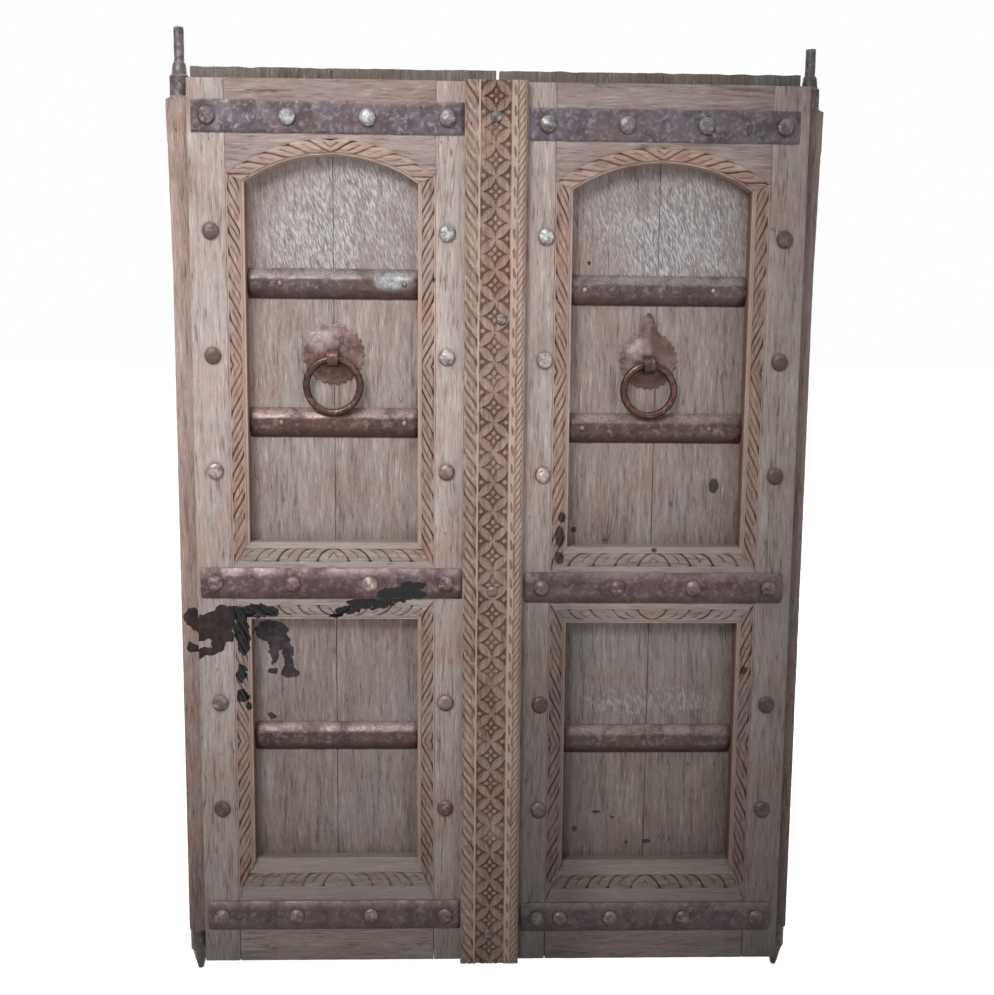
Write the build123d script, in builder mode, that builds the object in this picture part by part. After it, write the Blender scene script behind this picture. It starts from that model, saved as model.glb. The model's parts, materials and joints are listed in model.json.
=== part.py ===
from build123d import *
from math import atan2, cos, degrees, pi, radians, sin, sqrt
import os

os.makedirs("parts", exist_ok=True)

# All sizes in millimetres. X runs across the pair of leaves, Y goes from the carved
# front to the back, Z is up. Heights named z_... are measured from the leaf bottoms.

# Pair of leaves
leaf_height = 1634.0
plank_rise = 27.0
floor_gap = 47.0
post_outer = 583.5
post_width = 40.0
post_flare = 6.0
left_frame_edge = 544.0
right_frame_edge = 553.0
left_meeting_edge = 2.0
right_meeting_edge = 3.0
right_drop = 7.0

# Depths, from the front face of the stiles
frame_thick = 38.0
plank_thick = 28.0
batten_thick = 24.0
post_front = 40.0
post_depth = 56.0

# Stiles, rails and openings
outer_stile_width = 66.0
left_inner_stile = 107.0
right_inner_stile = 101.0
moulding_width = 31.0
z_bottom_opening = 201.0
arch_below_top = 128.0
upper_opening_height = 693.0
strap_under_opening = 75.0
opening_under_strap = 68.0
z_arch_apex = leaf_height - arch_below_top
z_top_opening = z_arch_apex - upper_opening_height
z_strap_middle = z_top_opening - strap_under_opening
z_bottom_opening_top = z_strap_middle - opening_under_strap
arch_rise = 48.0
arch_band = 27.0
arch_outer_rise = 62.0
bottom_moulding = 80.0
middle_lower_moulding = 38.0
middle_upper_moulding = 49.0
bottom_bevel_width = 22.0
bottom_bevel_depth = 15.0
bottom_plain_edge = 28.0
upper_bevel_width = 9.0
upper_bevel_depth = 7.0
upper_plain_edge = 15.0
lower_head_fillet = 6.0
lower_head_plain = 12.0
stile_chamfer = 3.0

# Carved mouldings
leaf_pitch = 38.0
leaf_slant = 47.0
stroke_width = 6.5
stroke_depth = 3.2
side_fillet = 7.0
side_arris = 2.5
fillet_drop = 3.0
arch_fillet = 4.0
score_width = 1.8
score_depth = 1.2
# Along one pitch, where the long and the short cut lie, and how far out the short one is
long_cut_at = 0.45
short_cut_at = 0.92
short_cut_out = 0.62
cut_reach = 0.94
# The cutting shapes start this far outside the face, so that no skin is left
skin = 0.05

# Carved cover strip over the meeting line
strip_centre = -3.0
strip_width = 110.0
strip_thick = 18.0
strip_relief = 0.3
strip_arris = 4.0
field_width = 54.0
field_depth = 4.0
petal_pitch = 54.3
petal_width = 13.0
flower_dot = 8.0
edge_dot = 7.0
flower_spread = 7.4
edge_dot_in = 5.2
field_border = 3.0
right_arris = 3.5
notch_share = 0.42
border_slant = 57.0
border_cut_depth = 3.4
notch_slant = 80.0
notch_length = 19.0
notch_width = 5.5
notch_depth = 4.6
rope_slant = 60.0
rope_cut_width = 4.6
rope_cut_depth = 2.6
border_pitch = 38.0
notch_pitch = 35.0
rope_pitch = 14.0

# Ironwork
strap_height = 58.0
strap_below_top = 65.0
z_strap_top = leaf_height - strap_below_top
z_strap_bottom = 93.5
flat_strap = 3.5
sheet = 3.0
strap_bulge = 8.5
panel_strap_height = 56.0
panel_strap_bulge = 15.0
strap_over_plate = 25.0
strap_under_ring = 20.0
panel_strap_gap = 1.5
strap_end_left = 8.0
strap_end_right = 18.0
strap_to_strip_left = 1.0
strap_to_strip_right = 6.0
nail_radius = 15.7
nail_height = 9.0
nail_pitch = 140.3
nail_first = 88.0
nails_per_strap = 4
nail_skirt = 4.0
extra_nail_share = 0.31
stile_nail_inset = 38.0
tack_radius = 5.5
tack_height = 4.0
tack_skirt = 2.0
shoe_radius = 18.5
tenon_radius = 15.5
shoe_height = 44.0
shoe_drop = 6.0
collar_height = 40.0
neck_height = 22.0
pin_radius = 9.5
left_pin_length = 63.0
right_pin_length = 49.0
shoulder_below_top = 28.0
flare_length = 300.0
socket_floor = 4.0
shoe_floor = 5.0

# Ring pulls
ring_below_apex = 358.0
z_ring_pivot = z_arch_apex - ring_below_apex
left_ring_radius = 48.5
right_ring_radius = 46.0
ring_tube = 8.0
ring_plane = 19.0
left_pull_x = 294.0
right_pull_x = 281.0
plate_radius = 57.0
plate_thick = 4.0
right_plate_point = 44.0
plate_lobes = 24
plate_above_pivot = 8.0
point_spread = 36.0
plate_step = 1.2
ring_play = 0.45
z_panel_strap_high = z_ring_pivot + plate_above_pivot + plate_radius + right_plate_point + strap_over_plate
z_panel_strap_mid = z_ring_pivot - 2 * left_ring_radius - strap_under_ring
z_panel_strap_low = (z_bottom_opening + z_bottom_opening_top) / 2 + 0.5
staple_width = 21.0
staple_wall = 6.0
staple_hole = 11.0

# Back battens
batten_height = 88.0
batten_tenon = 13.0
batten_below_top = 79.0
batten_end_gap = 8.0
batten_under_opening = 142.0
z_batten_top = leaf_height - batten_below_top
z_batten_low = z_bottom_opening_top - batten_under_opening

# Nail rows of the stiles and of the cover strip
lower_opening_height = z_bottom_opening_top - z_bottom_opening
z_stile_nails = (
    z_arch_apex - 134.0,
    z_ring_pivot + 5.0,
    z_top_opening + 132.0,
    z_bottom_opening + 0.661 * lower_opening_height,
    z_bottom_opening + 0.222 * lower_opening_height,
)
strip_nail_height = 3.0
strip_nail_radius = 7.5
strip_nail_crown = 5.0
strip_nails_at = (
    (0.0, z_strap_top + 2.0),
    (12.0, z_ring_pivot + 73.0),
    (0.0, z_strap_middle - 12.0),
    (0.0, z_strap_bottom - 33.5),
)

# The frame has its origin under the middle of the pair, at the spike tips.
front_most = -strip_thick - strip_nail_height
back_most = post_front + post_depth
y0 = -(front_most + back_most) / 2
z0 = floor_gap
pivot_y = y0 + post_front + post_depth / 2
pivot_x = post_outer - shoe_radius + post_flare / 2 - 1.0
back_y = y0 + frame_thick


def save(made, name):
    made.part.label = name
    export_step(made.part, f"parts/{name}.step")


def block(x_a, x_b, y_a, y_b, z_a, z_b, mode=Mode.ADD):
    """Rectangular block between two corners."""
    with Locations(((x_a + x_b) / 2, (y_a + y_b) / 2, (z_a + z_b) / 2)):
        Box(abs(x_b - x_a), abs(y_b - y_a), abs(z_b - z_a), mode=mode)


def slab(points, y_front, y_back, mode=Mode.ADD):
    """Plate with its outline given as x, z points, between two depths."""
    with BuildSketch(Plane.XZ.offset(-y_back)) as outline:
        Polygon(*points, align=None)
    extrude(outline.sketch, amount=y_back - y_front, dir=(0, -1, 0), mode=mode)


def facet_solid(polygons):
    """Closed solid from flat facets."""
    return Solid(Shell([Face(Wire.make_polygon(points)) for points in polygons]))


def boat(length, width, height, peak=0.0):
    """Pointed leaf shape lying along X, flat below, with one peak above."""
    tail = (-length / 2, 0, 0)
    tip = (length / 2, 0, 0)
    near = (peak, -width / 2, 0)
    far = (peak, width / 2, 0)
    top = (peak, 0, height)
    return facet_solid(
        [
            [tail, far, tip, near],
            [tail, near, top],
            [near, tip, top],
            [tip, far, top],
            [far, tail, top],
        ]
    )


def dome(radius, height, skirt, sides):
    """Hammered nail head with flat facets; its skirt goes below the base plane."""
    rings = ((radius, -skirt), (radius, 0.0), (radius * 0.8, height * 0.62), (radius * 0.36, height))
    loops = []
    for r, z in rings:
        loops.append(
            [
                (r * cos(2 * pi * (i + 0.5) / sides), r * sin(2 * pi * (i + 0.5) / sides), z)
                for i in range(sides)
            ]
        )
    if skirt <= 0:
        loops = loops[1:]
    polygons = [list(reversed(loops[0])), loops[-1]]
    for low, high in zip(loops, loops[1:]):
        for i in range(sides):
            j = (i + 1) % sides
            polygons.append([low[i], low[j], high[j], high[i]])
    return facet_solid(polygons)


def facing_front(x, y, z, angle=0.0):
    """Plane that looks to the front, its X turned up from the row X by the angle."""
    a = radians(angle)
    return Plane(origin=(x, y, z), x_dir=(cos(a), 0, sin(a)), z_dir=(0, -1, 0))


def facing_back(x, y, z, angle=0.0):
    """Plane that looks into the wood, for cuts made from the front."""
    a = radians(angle)
    return Plane(origin=(x, y, z), x_dir=(cos(a), 0, sin(a)), z_dir=(0, 1, 0))


def carve(places, tool):
    """Cut one tool at many places."""
    if places:
        with Locations(*places):
            add(tool, mode=Mode.SUBTRACT)


def leaf_strokes(node, along, outward, half, inner, width):
    """Places of the long and short leaf cuts of one straight band.

    node is the x, z point on the opening edge at the middle of the band, along and
    outward are unit x, z directions, half is half the band length, inner is the
    distance from the opening edge to the carved band.
    """
    long_cuts = []
    short_cuts = []
    count = max(1, int((half - 0.3 * leaf_pitch) / leaf_pitch))
    step = (half - 0.25 * leaf_pitch) / count
    slant = radians(leaf_slant)
    for way in (1, -1):
        for i in range(count):
            dx = along[0] * way * cos(slant) + outward[0] * sin(slant)
            dz = along[1] * way * cos(slant) + outward[1] * sin(slant)
            angle = degrees(atan2(dz, dx))
            s = way * (i + long_cut_at) * step
            n = inner + 0.5 * width
            long_cuts.append(
                facing_back(
                    node[0] + along[0] * s + outward[0] * n,
                    y0 - skin,
                    node[1] + along[1] * s + outward[1] * n,
                    angle,
                )
            )
            s = way * (i + short_cut_at) * step
            n = inner + short_cut_out * width
            short_cuts.append(
                facing_back(
                    node[0] + along[0] * s + outward[0] * n,
                    y0 - skin,
                    node[1] + along[1] * s + outward[1] * n,
                    angle,
                )
            )
    return long_cuts, short_cuts


def carve_band(node, along, outward, half, inner, width):
    long_cuts, short_cuts = leaf_strokes(node, along, outward, half, inner, width)
    reach = cut_reach * width / sin(radians(leaf_slant))
    carve(long_cuts, boat(reach, stroke_width, stroke_depth, reach * 0.12))
    carve(short_cuts, boat(reach * 0.5, stroke_width * 0.75, stroke_depth * 0.8, reach * 0.05))


def moulding(name, outline, node, along, outward, half, fillet, width, bevel=0.0):
    """Mitred moulding piece: full-depth slab, stepped or bevelled edge, carved band.

    outline lists the opening edge first: two points on the opening edge, then two on
    the outer edge. fillet is the width of the stepped edge, or of the bevel.
    """
    with BuildPart() as piece:
        slab(outline, y0, back_y)
        tangent_x, tangent_z = along
        reach = half + bottom_moulding
        edge = [
            (node[0] + tangent_x * s + outward[0] * n, node[1] + tangent_z * s + outward[1] * n)
            for s, n in ((-reach, -1), (reach, -1), (reach, fillet), (-reach, fillet))
        ]
        if bevel > 0:
            deep = y0 + bevel
            far_a = (edge[2][0], y0, edge[2][1])
            far_b = (edge[3][0], y0, edge[3][1])
            near_a = (edge[1][0], deep, edge[1][1])
            lip_a = (edge[1][0], y0 - 1, edge[1][1])
            up_a = (edge[2][0], y0 - 1, edge[2][1])
            profile_a = Wire.make_polygon([far_a, near_a, lip_a, up_a])
            run = Vector(*far_b) - Vector(*far_a)
            wedge = Solid.extrude(Face(profile_a), run)
            add(wedge, mode=Mode.SUBTRACT)
        else:
            slab(edge, y0 - 1, y0 + fillet_drop, mode=Mode.SUBTRACT)
        carve_band(node, along, outward, half, fillet + 0.5, width)
    save(piece, name)


def arched_strap(name, x_a, x_b, y_seat, z_mid, height, bulge):
    """Iron strap bent to a low arch in section, resting on its two long edges."""
    lip = sheet * 1.25
    with BuildPart() as strap:
        with BuildSketch(Plane.YZ.offset(min(x_a, x_b))):
            with BuildLine():
                low = (y_seat, z_mid - height / 2)
                high = (y_seat, z_mid + height / 2)
                low_in = (y_seat, z_mid - height / 2 + lip)
                high_in = (y_seat, z_mid + height / 2 - lip)
                ThreePointArc(low, (y_seat - bulge, z_mid), high)
                Line(high, high_in)
                ThreePointArc(high_in, (y_seat - bulge + sheet, z_mid), low_in)
                Line(low_in, low)
            make_face()
        extrude(amount=abs(x_b - x_a))
    save(strap, name)


def on_crown(head, height, bulge):
    """Nail head whose skirt is cut to the crown of an arched strap."""
    radius = (height * height / 4 + bulge * bulge) / (2 * bulge)
    with BuildPart() as fitted:
        add(head)
        with Locations(Location((0, 0, -radius), (0, 90, 0))):
            Cylinder(radius, 4 * nail_radius, mode=Mode.SUBTRACT)
    return fitted.part


def heads(name, groups):
    """Node with many identical fasteners."""
    with BuildPart() as made:
        for tool, places in groups:
            if places:
                with Locations(*places):
                    add(tool)
    save(made, name)


strap_head = on_crown(dome(nail_radius, nail_height, nail_skirt, 10), strap_height, strap_bulge)
plain_head = dome(nail_radius, nail_height, 0.0, 10)
tack_head = on_crown(
    dome(tack_radius, tack_height, tack_skirt, 6), panel_strap_height, panel_strap_bulge
)


def top_pivot(name, x, pin_length, z_shoulder):
    """Iron collar on the post's round tenon, with its neck and pin."""
    with BuildPart() as iron:
        with Locations((x, pivot_y, z_shoulder)):
            Cylinder(shoe_radius, collar_height, align=(Align.CENTER, Align.CENTER, Align.MIN))
        with Locations((x, pivot_y, z_shoulder + collar_height)):
            Cone(
                shoe_radius * 0.82,
                shoe_radius * 0.66,
                neck_height,
                align=(Align.CENTER, Align.CENTER, Align.MIN),
            )
        with Locations((x, pivot_y, z_shoulder + collar_height + neck_height)):
            Cylinder(pin_radius, pin_length, align=(Align.CENTER, Align.CENTER, Align.MIN))
        with Locations((x, pivot_y, z_shoulder)):
            Cylinder(
                tenon_radius,
                collar_height - socket_floor,
                align=(Align.CENTER, Align.CENTER, Align.MIN),
                mode=Mode.SUBTRACT,
            )
    save(iron, name)


def bottom_pivot(name, x):
    """Iron shoe under the post with its tapering spike."""
    with BuildPart() as iron:
        with Locations((x, pivot_y, z0 - shoe_drop)):
            Cylinder(shoe_radius, shoe_height, align=(Align.CENTER, Align.CENTER, Align.MIN))
        with Locations((x, pivot_y, 0)):
            Cone(
                shoe_radius * 0.3,
                shoe_radius * 0.88,
                z0 - shoe_drop,
                align=(Align.CENTER, Align.CENTER, Align.MIN),
            )
        with Locations((x, pivot_y, z0 - shoe_drop + shoe_floor)):
            Cylinder(
                tenon_radius,
                shoe_height,
                align=(Align.CENTER, Align.CENTER, Align.MIN),
                mode=Mode.SUBTRACT,
            )
    save(iron, name)


def pull_plate(name, x, z_mid, radius, lobes, point):
    """Iron plate with a scalloped edge, a raised middle and an optional pointed top."""
    count = lobes * 2
    outline = []
    for i in range(count):
        a = 2 * pi * (i + 0.5) / count + pi / 2
        r = radius * (1.0 if i % 2 else 0.955)
        turn = abs((degrees(a) - 90 + 180) % 360 - 180)
        if turn < point_spread:
            r += point * (1 - turn / point_spread) ** 1.4
        outline.append((x + r * cos(a), z_mid + r * sin(a)))
    seat = back_y
    with BuildPart() as plate:
        slab(outline, seat - plate_thick, seat)
        for edge, rise in ((0.80, plate_step), (0.5, 2 * plate_step)):
            places = [facing_front(x, seat - plate_thick, z_mid)]
            with BuildSketch(*places):
                RegularPolygon(radius * edge, 16)
            extrude(amount=rise)
    save(plate, name)


def pull_staple(name, x, z_eye):
    """Iron eye folded round the ring, its two legs set on the plate."""
    y_mid = y0 + ring_plane
    y_seat = back_y - plate_thick - 2 * plate_step
    outer = staple_hole + staple_wall
    with BuildPart() as eye:
        with BuildSketch(Plane.YZ.offset(x - staple_width / 2)):
            with BuildLine():
                Polyline(
                    (y_mid, z_eye + staple_hole),
                    (y_seat, z_eye + staple_hole),
                    (y_seat, z_eye + outer),
                    (y_mid, z_eye + outer),
                )
                ThreePointArc((y_mid, z_eye + outer), (y_mid - outer, z_eye), (y_mid, z_eye - outer))
                Polyline(
                    (y_mid, z_eye - outer),
                    (y_seat, z_eye - outer),
                    (y_seat, z_eye - staple_hole),
                    (y_mid, z_eye - staple_hole),
                )
                ThreePointArc(
                    (y_mid, z_eye - staple_hole),
                    (y_mid - staple_hole, z_eye),
                    (y_mid, z_eye + staple_hole),
                )
            make_face()
        extrude(amount=staple_width)
    save(eye, name)


def make_leaf(
    side, s, frame_edge, inner_stile, meeting, drop, pin_length, pull_x, ring_radius, plate_point
):
    """All pieces of one leaf. s is -1 on the left and +1 on the right."""
    top = z0 + leaf_height
    opening_out = frame_edge - outer_stile_width - moulding_width
    opening_in = meeting + inner_stile + moulding_width
    rail_out = opening_out + moulding_width
    rail_in = opening_in - moulding_width
    middle = (opening_out + opening_in) / 2
    half_open = (opening_out - opening_in) / 2
    zb0 = z0 + z_bottom_opening - drop
    zb1 = z0 + z_bottom_opening_top - drop
    zt0 = z0 + z_top_opening - drop
    apex = z0 + z_arch_apex - drop
    spring = apex - arch_rise
    spring_out = apex + arch_band - arch_outer_rise
    z_rail_b = zb0 - bottom_moulding
    z_mid_low = zb1 + middle_lower_moulding
    z_mid_high = zt0 - middle_upper_moulding
    plank_edge = post_outer - post_width
    plank_back = back_y + plank_thick
    names = f"{side}_"

    with BuildPart() as plank:
        block(s * middle, s * plank_edge, back_y, plank_back, z0, top + plank_rise)
    save(plank, names + "hinge_plank")
    with BuildPart() as plank:
        block(s * meeting, s * middle, back_y, plank_back, z0, top + plank_rise)
    save(plank, names + "meeting_plank")

    z_shoulder = top - shoulder_below_top - drop
    post_low = z0 - shoe_drop + shoe_height
    flare_from = z_shoulder - flare_length
    with BuildPart() as post:
        slab(
            [
                (s * plank_edge, post_low),
                (s * post_outer, post_low),
                (s * post_outer, flare_from),
                (s * (post_outer + post_flare), z_shoulder),
                (s * plank_edge, z_shoulder),
            ],
            y0 + post_front,
            y0 + post_front + post_depth,
        )
        with Locations((s * pivot_x, pivot_y, z_shoulder - shoe_floor)):
            Cylinder(tenon_radius, collar_height, align=(Align.CENTER, Align.CENTER, Align.MIN))
        with Locations((s * pivot_x, pivot_y, z0 - shoe_drop + shoe_floor)):
            Cylinder(tenon_radius, shoe_height, align=(Align.CENTER, Align.CENTER, Align.MIN))
        for z_mid in (z_batten_top, z_ring_pivot, z_batten_low, z_strap_bottom):
            low = z0 + z_mid - drop - batten_height / 2
            block(
                s * plank_edge,
                s * (plank_edge + batten_tenon),
                plank_back,
                plank_back + batten_thick,
                low,
                low + batten_height,
                mode=Mode.SUBTRACT,
            )
    save(post, names + "pivot_post")

    with BuildPart() as battens:
        for z_mid in (z_batten_top, z_ring_pivot, z_batten_low, z_strap_bottom):
            low = z0 + z_mid - drop - batten_height / 2
            block(
                s * (meeting + batten_end_gap),
                s * (plank_edge + batten_tenon),
                plank_back,
                plank_back + batten_thick,
                low,
                low + batten_height,
            )
    save(battens, names + "battens")

    with BuildPart() as stile:
        block(s * rail_out, s * frame_edge, y0, back_y, z0, top)
        long_edges = stile.edges().filter_by(Axis.Z).group_by(Axis.Y)[0].sort_by(Axis.X)
        chamfer(long_edges[0] if s < 0 else long_edges[-1], length=stile_chamfer)
    save(stile, names + "outer_stile")
    with BuildPart() as stile:
        block(s * meeting, s * rail_in, y0, back_y, z0, top)
    save(stile, names + "inner_stile")
    with BuildPart() as rail:
        block(s * rail_in, s * rail_out, y0, back_y, z0, z_rail_b)
    save(rail, names + "bottom_rail")
    with BuildPart() as rail:
        block(s * rail_in, s * rail_out, y0, back_y, z_mid_low, z_mid_high)
    save(rail, names + "mid_rail")

    # Arched top rail, with the carved band along its arch.
    inner_radius = (half_open ** 2 + arch_rise ** 2) / (2 * arch_rise)
    centre_z = apex - inner_radius
    band_radius = inner_radius + arch_band
    with BuildPart() as rail:
        with BuildSketch(Plane.XZ.offset(-back_y)):
            with BuildLine():
                Polyline(
                    (s * opening_in, spring),
                    (s * rail_in, spring_out),
                    (s * rail_in, top),
                    (s * rail_out, top),
                    (s * rail_out, spring_out),
                    (s * opening_out, spring),
                )
                ThreePointArc((s * opening_out, spring), (s * middle, apex), (s * opening_in, spring))
            make_face()
        extrude(amount=frame_thick)
        # Step along the arch edge.
        with BuildSketch(Plane.XZ.offset(-(y0 + fillet_drop))):
            with Locations((s * middle, centre_z)):
                Circle(inner_radius + arch_fillet)
                Circle(inner_radius - 20, mode=Mode.SUBTRACT)
        extrude(amount=fillet_drop + 1, mode=Mode.SUBTRACT)
        # Scored line between the band and the plain spandrel.
        with BuildSketch(Plane.XZ.offset(-(y0 + score_depth))):
            with Locations((s * middle, centre_z)):
                Circle(band_radius + score_width / 2)
                Circle(band_radius - score_width / 2, mode=Mode.SUBTRACT)
            with Locations((s * middle, centre_z - band_radius)):
                Rectangle(
                    4 * band_radius,
                    2 * (band_radius + spring_out - centre_z - arch_fillet),
                    mode=Mode.SUBTRACT,
                )
        extrude(amount=3, mode=Mode.SUBTRACT)
        carved = arch_band - arch_fillet - 1.0
        mean = inner_radius + arch_fillet + 0.5 + carved / 2
        sweep = degrees(atan2(half_open, spring - centre_z))
        count = max(1, int(radians(sweep) * mean / leaf_pitch - 0.2))
        step = (sweep - 2.5) / count
        long_cuts = []
        short_cuts = []
        for way in (1, -1):
            for i in range(count):
                for places, share, radius in (
                    (long_cuts, long_cut_at, mean),
                    (short_cuts, short_cut_at, mean + (short_cut_out - 0.5) * carved),
                ):
                    a = 90 - way * (i + share) * step
                    px = s * middle + radius * cos(radians(a))
                    pz = centre_z + radius * sin(radians(a))
                    tangent = a - 90 * way
                    places.append(facing_back(px, y0 - skin, pz, tangent + way * leaf_slant))
        reach = cut_reach * carved / sin(radians(leaf_slant))
        carve(long_cuts, boat(reach, stroke_width, stroke_depth, reach * 0.12))
        carve(short_cuts, boat(reach * 0.5, stroke_width * 0.75, stroke_depth * 0.8, reach * 0.05))
    save(rail, names + "top_rail")

    # Mouldings round the two openings, each a piece of its own, mitred at the corners.
    side_band = moulding_width - side_fillet - side_arris
    z_mid_upper = (zt0 + spring) / 2
    z_mid_lower = (zb0 + zb1) / 2
    for part_name, edge, far, way in (
        ("outer", opening_out, rail_out, 1),
        ("inner", opening_in, rail_in, -1),
    ):
        moulding(
            names + "upper_" + part_name + "_moulding",
            [(s * edge, zt0), (s * edge, spring), (s * far, spring_out), (s * far, z_mid_high)],
            (s * edge, z_mid_upper),
            (0, 1),
            (s * way, 0),
            (spring - zt0) / 2,
            side_fillet,
            side_band,
        )
        moulding(
            names + "lower_" + part_name + "_moulding",
            [(s * edge, zb0), (s * edge, zb1), (s * far, z_mid_low), (s * far, z_rail_b)],
            (s * edge, z_mid_lower),
            (0, 1),
            (s * way, 0),
            (zb1 - zb0) / 2,
            side_fillet,
            side_band,
        )
    corners = ((s * opening_in), (s * opening_out), (s * rail_out), (s * rail_in))
    moulding(
        names + "upper_bottom_moulding",
        [(corners[0], zt0), (corners[1], zt0), (corners[2], z_mid_high), (corners[3], z_mid_high)],
        (s * middle, zt0),
        (1, 0),
        (0, -1),
        half_open,
        upper_bevel_width,
        middle_upper_moulding - upper_bevel_width - upper_plain_edge,
        bevel=upper_bevel_depth,
    )
    moulding(
        names + "lower_top_moulding",
        [(corners[0], zb1), (corners[1], zb1), (corners[2], z_mid_low), (corners[3], z_mid_low)],
        (s * middle, zb1),
        (1, 0),
        (0, 1),
        half_open,
        lower_head_fillet,
        middle_lower_moulding - lower_head_fillet - lower_head_plain,
    )
    moulding(
        names + "lower_bottom_moulding",
        [(corners[0], zb0), (corners[1], zb0), (corners[2], z_rail_b), (corners[3], z_rail_b)],
        (s * middle, zb0),
        (1, 0),
        (0, -1),
        half_open,
        bottom_bevel_width,
        bottom_moulding - bottom_bevel_width - bottom_plain_edge,
        bevel=bottom_bevel_depth,
    )

    # Straps across the leaf and inside the openings.
    strip_gap = strap_to_strip_left if s < 0 else strap_to_strip_right
    strap_in = abs(strip_centre + s * strip_width / 2) + strip_gap
    strap_out = frame_edge - (strap_end_left if s < 0 else strap_end_right)
    z_top = z0 + z_strap_top - drop
    with BuildPart() as strap:
        block(
            s * strap_in,
            s * strap_out,
            y0 - flat_strap,
            y0,
            z_top - strap_height / 2,
            z_top + strap_height / 2,
        )
    save(strap, names + "top_strap")
    z_middle = z0 + z_strap_middle - drop
    z_bottom = z0 + z_strap_bottom - drop
    arched_strap(names + "middle_strap", s * strap_in, s * strap_out, y0, z_middle, strap_height, strap_bulge)
    arched_strap(names + "bottom_strap", s * strap_in, s * strap_out, y0, z_bottom, strap_height, strap_bulge)
    panel_z = []
    for word, z_mid in (
        ("high", z_panel_strap_high),
        ("mid", z_panel_strap_mid),
        ("low", z_panel_strap_low),
    ):
        z_here = z0 + z_mid - drop
        panel_z.append(z_here)
        arched_strap(
            names + word + "_panel_strap",
            s * (opening_in + panel_strap_gap),
            s * (opening_out - panel_strap_gap),
            back_y,
            z_here,
            panel_strap_height,
            panel_strap_bulge,
        )

    # Domed nails: four on each strap, five down each stile.
    row = [nail_first + nail_pitch * i for i in range(nails_per_strap)]
    crown = y0 - strap_bulge
    flat_front = y0 - flat_strap
    arch_places = [facing_front(s * x, crown, z) for z in (z_middle, z_bottom) for x in row]
    if s > 0:
        arch_places.append(facing_front(row[0] + nail_pitch * extra_nail_share, crown, z_bottom))
    flat_places = [facing_front(s * x, flat_front, z_top) for x in row]
    stile_places = []
    for z in z_stile_nails:
        z_here = z0 + z - drop * 0.6
        stile_places.append(facing_front(s * nail_first, y0, z_here))
        stile_places.append(facing_front(s * (frame_edge - stile_nail_inset), y0, z_here))
    heads(names + "nails", [(strap_head, arch_places), (plain_head, flat_places + stile_places)])

    tack_y = back_y - panel_strap_bulge
    tack_places = [
        facing_front(s * (middle - 0.87 * half_open + 5), tack_y, panel_z[0]),
        facing_front(s * (middle + 0.62 * half_open), tack_y, panel_z[0]),
        facing_front(s * (middle - 0.87 * half_open + 5), tack_y, panel_z[1]),
        facing_front(s * (middle + 0.62 * half_open), tack_y, panel_z[1]),
    ]
    heads(names + "tacks", [(tack_head, tack_places)])

    top_pivot(names + "top_pivot", s * pivot_x, pin_length, z_shoulder)
    bottom_pivot(names + "bottom_pivot", s * pivot_x)

    # The ring hangs on the lower wall of its eye, touching it at the eye's two faces.
    z_pivot = z0 + z_ring_pivot - drop
    sag = ring_radius - sqrt(ring_radius ** 2 - staple_width ** 2 / 4)
    z_eye = z_pivot + staple_hole - ring_tube - sag - ring_play
    pull_plate(
        names + "pull_plate",
        s * pull_x,
        z_pivot + plate_above_pivot,
        plate_radius - drop * 0.4,
        plate_lobes,
        plate_point,
    )
    pull_staple(names + "pull_staple", s * pull_x, z_eye)
    with BuildPart() as ring:
        with Locations(Location((s * pull_x, y0 + ring_plane, z_pivot - ring_radius), (90, 0, 0))):
            Torus(ring_radius, ring_tube)
    save(ring, names + "pull_ring")


make_leaf(
    "left",
    -1,
    left_frame_edge,
    left_inner_stile,
    left_meeting_edge,
    0.0,
    left_pin_length,
    left_pull_x,
    left_ring_radius,
    0.0,
)
make_leaf(
    "right",
    1,
    right_frame_edge,
    right_inner_stile,
    right_meeting_edge,
    right_drop,
    right_pin_length,
    right_pull_x,
    right_ring_radius,
    right_plate_point,
)

# Cover strip: raised leaf-and-flower lattice in a sunk field, between a leaf border
# on the left and a notched and a rope border on the right.
strip_low = z0
strip_high = z0 + leaf_height
front = y0 - strip_thick
floor = front + field_depth
x_left = strip_centre - strip_width / 2
x_right = strip_centre + strip_width / 2
x_field = strip_centre - field_width / 2
half_field = field_width / 2
border_left = (x_left + strip_arris, x_field - strip_arris)
border_right = (strip_centre + half_field + field_border, x_right - right_arris)
notch_band = (border_right[1] - border_right[0]) * notch_share
cells = int(leaf_height / petal_pitch)

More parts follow.
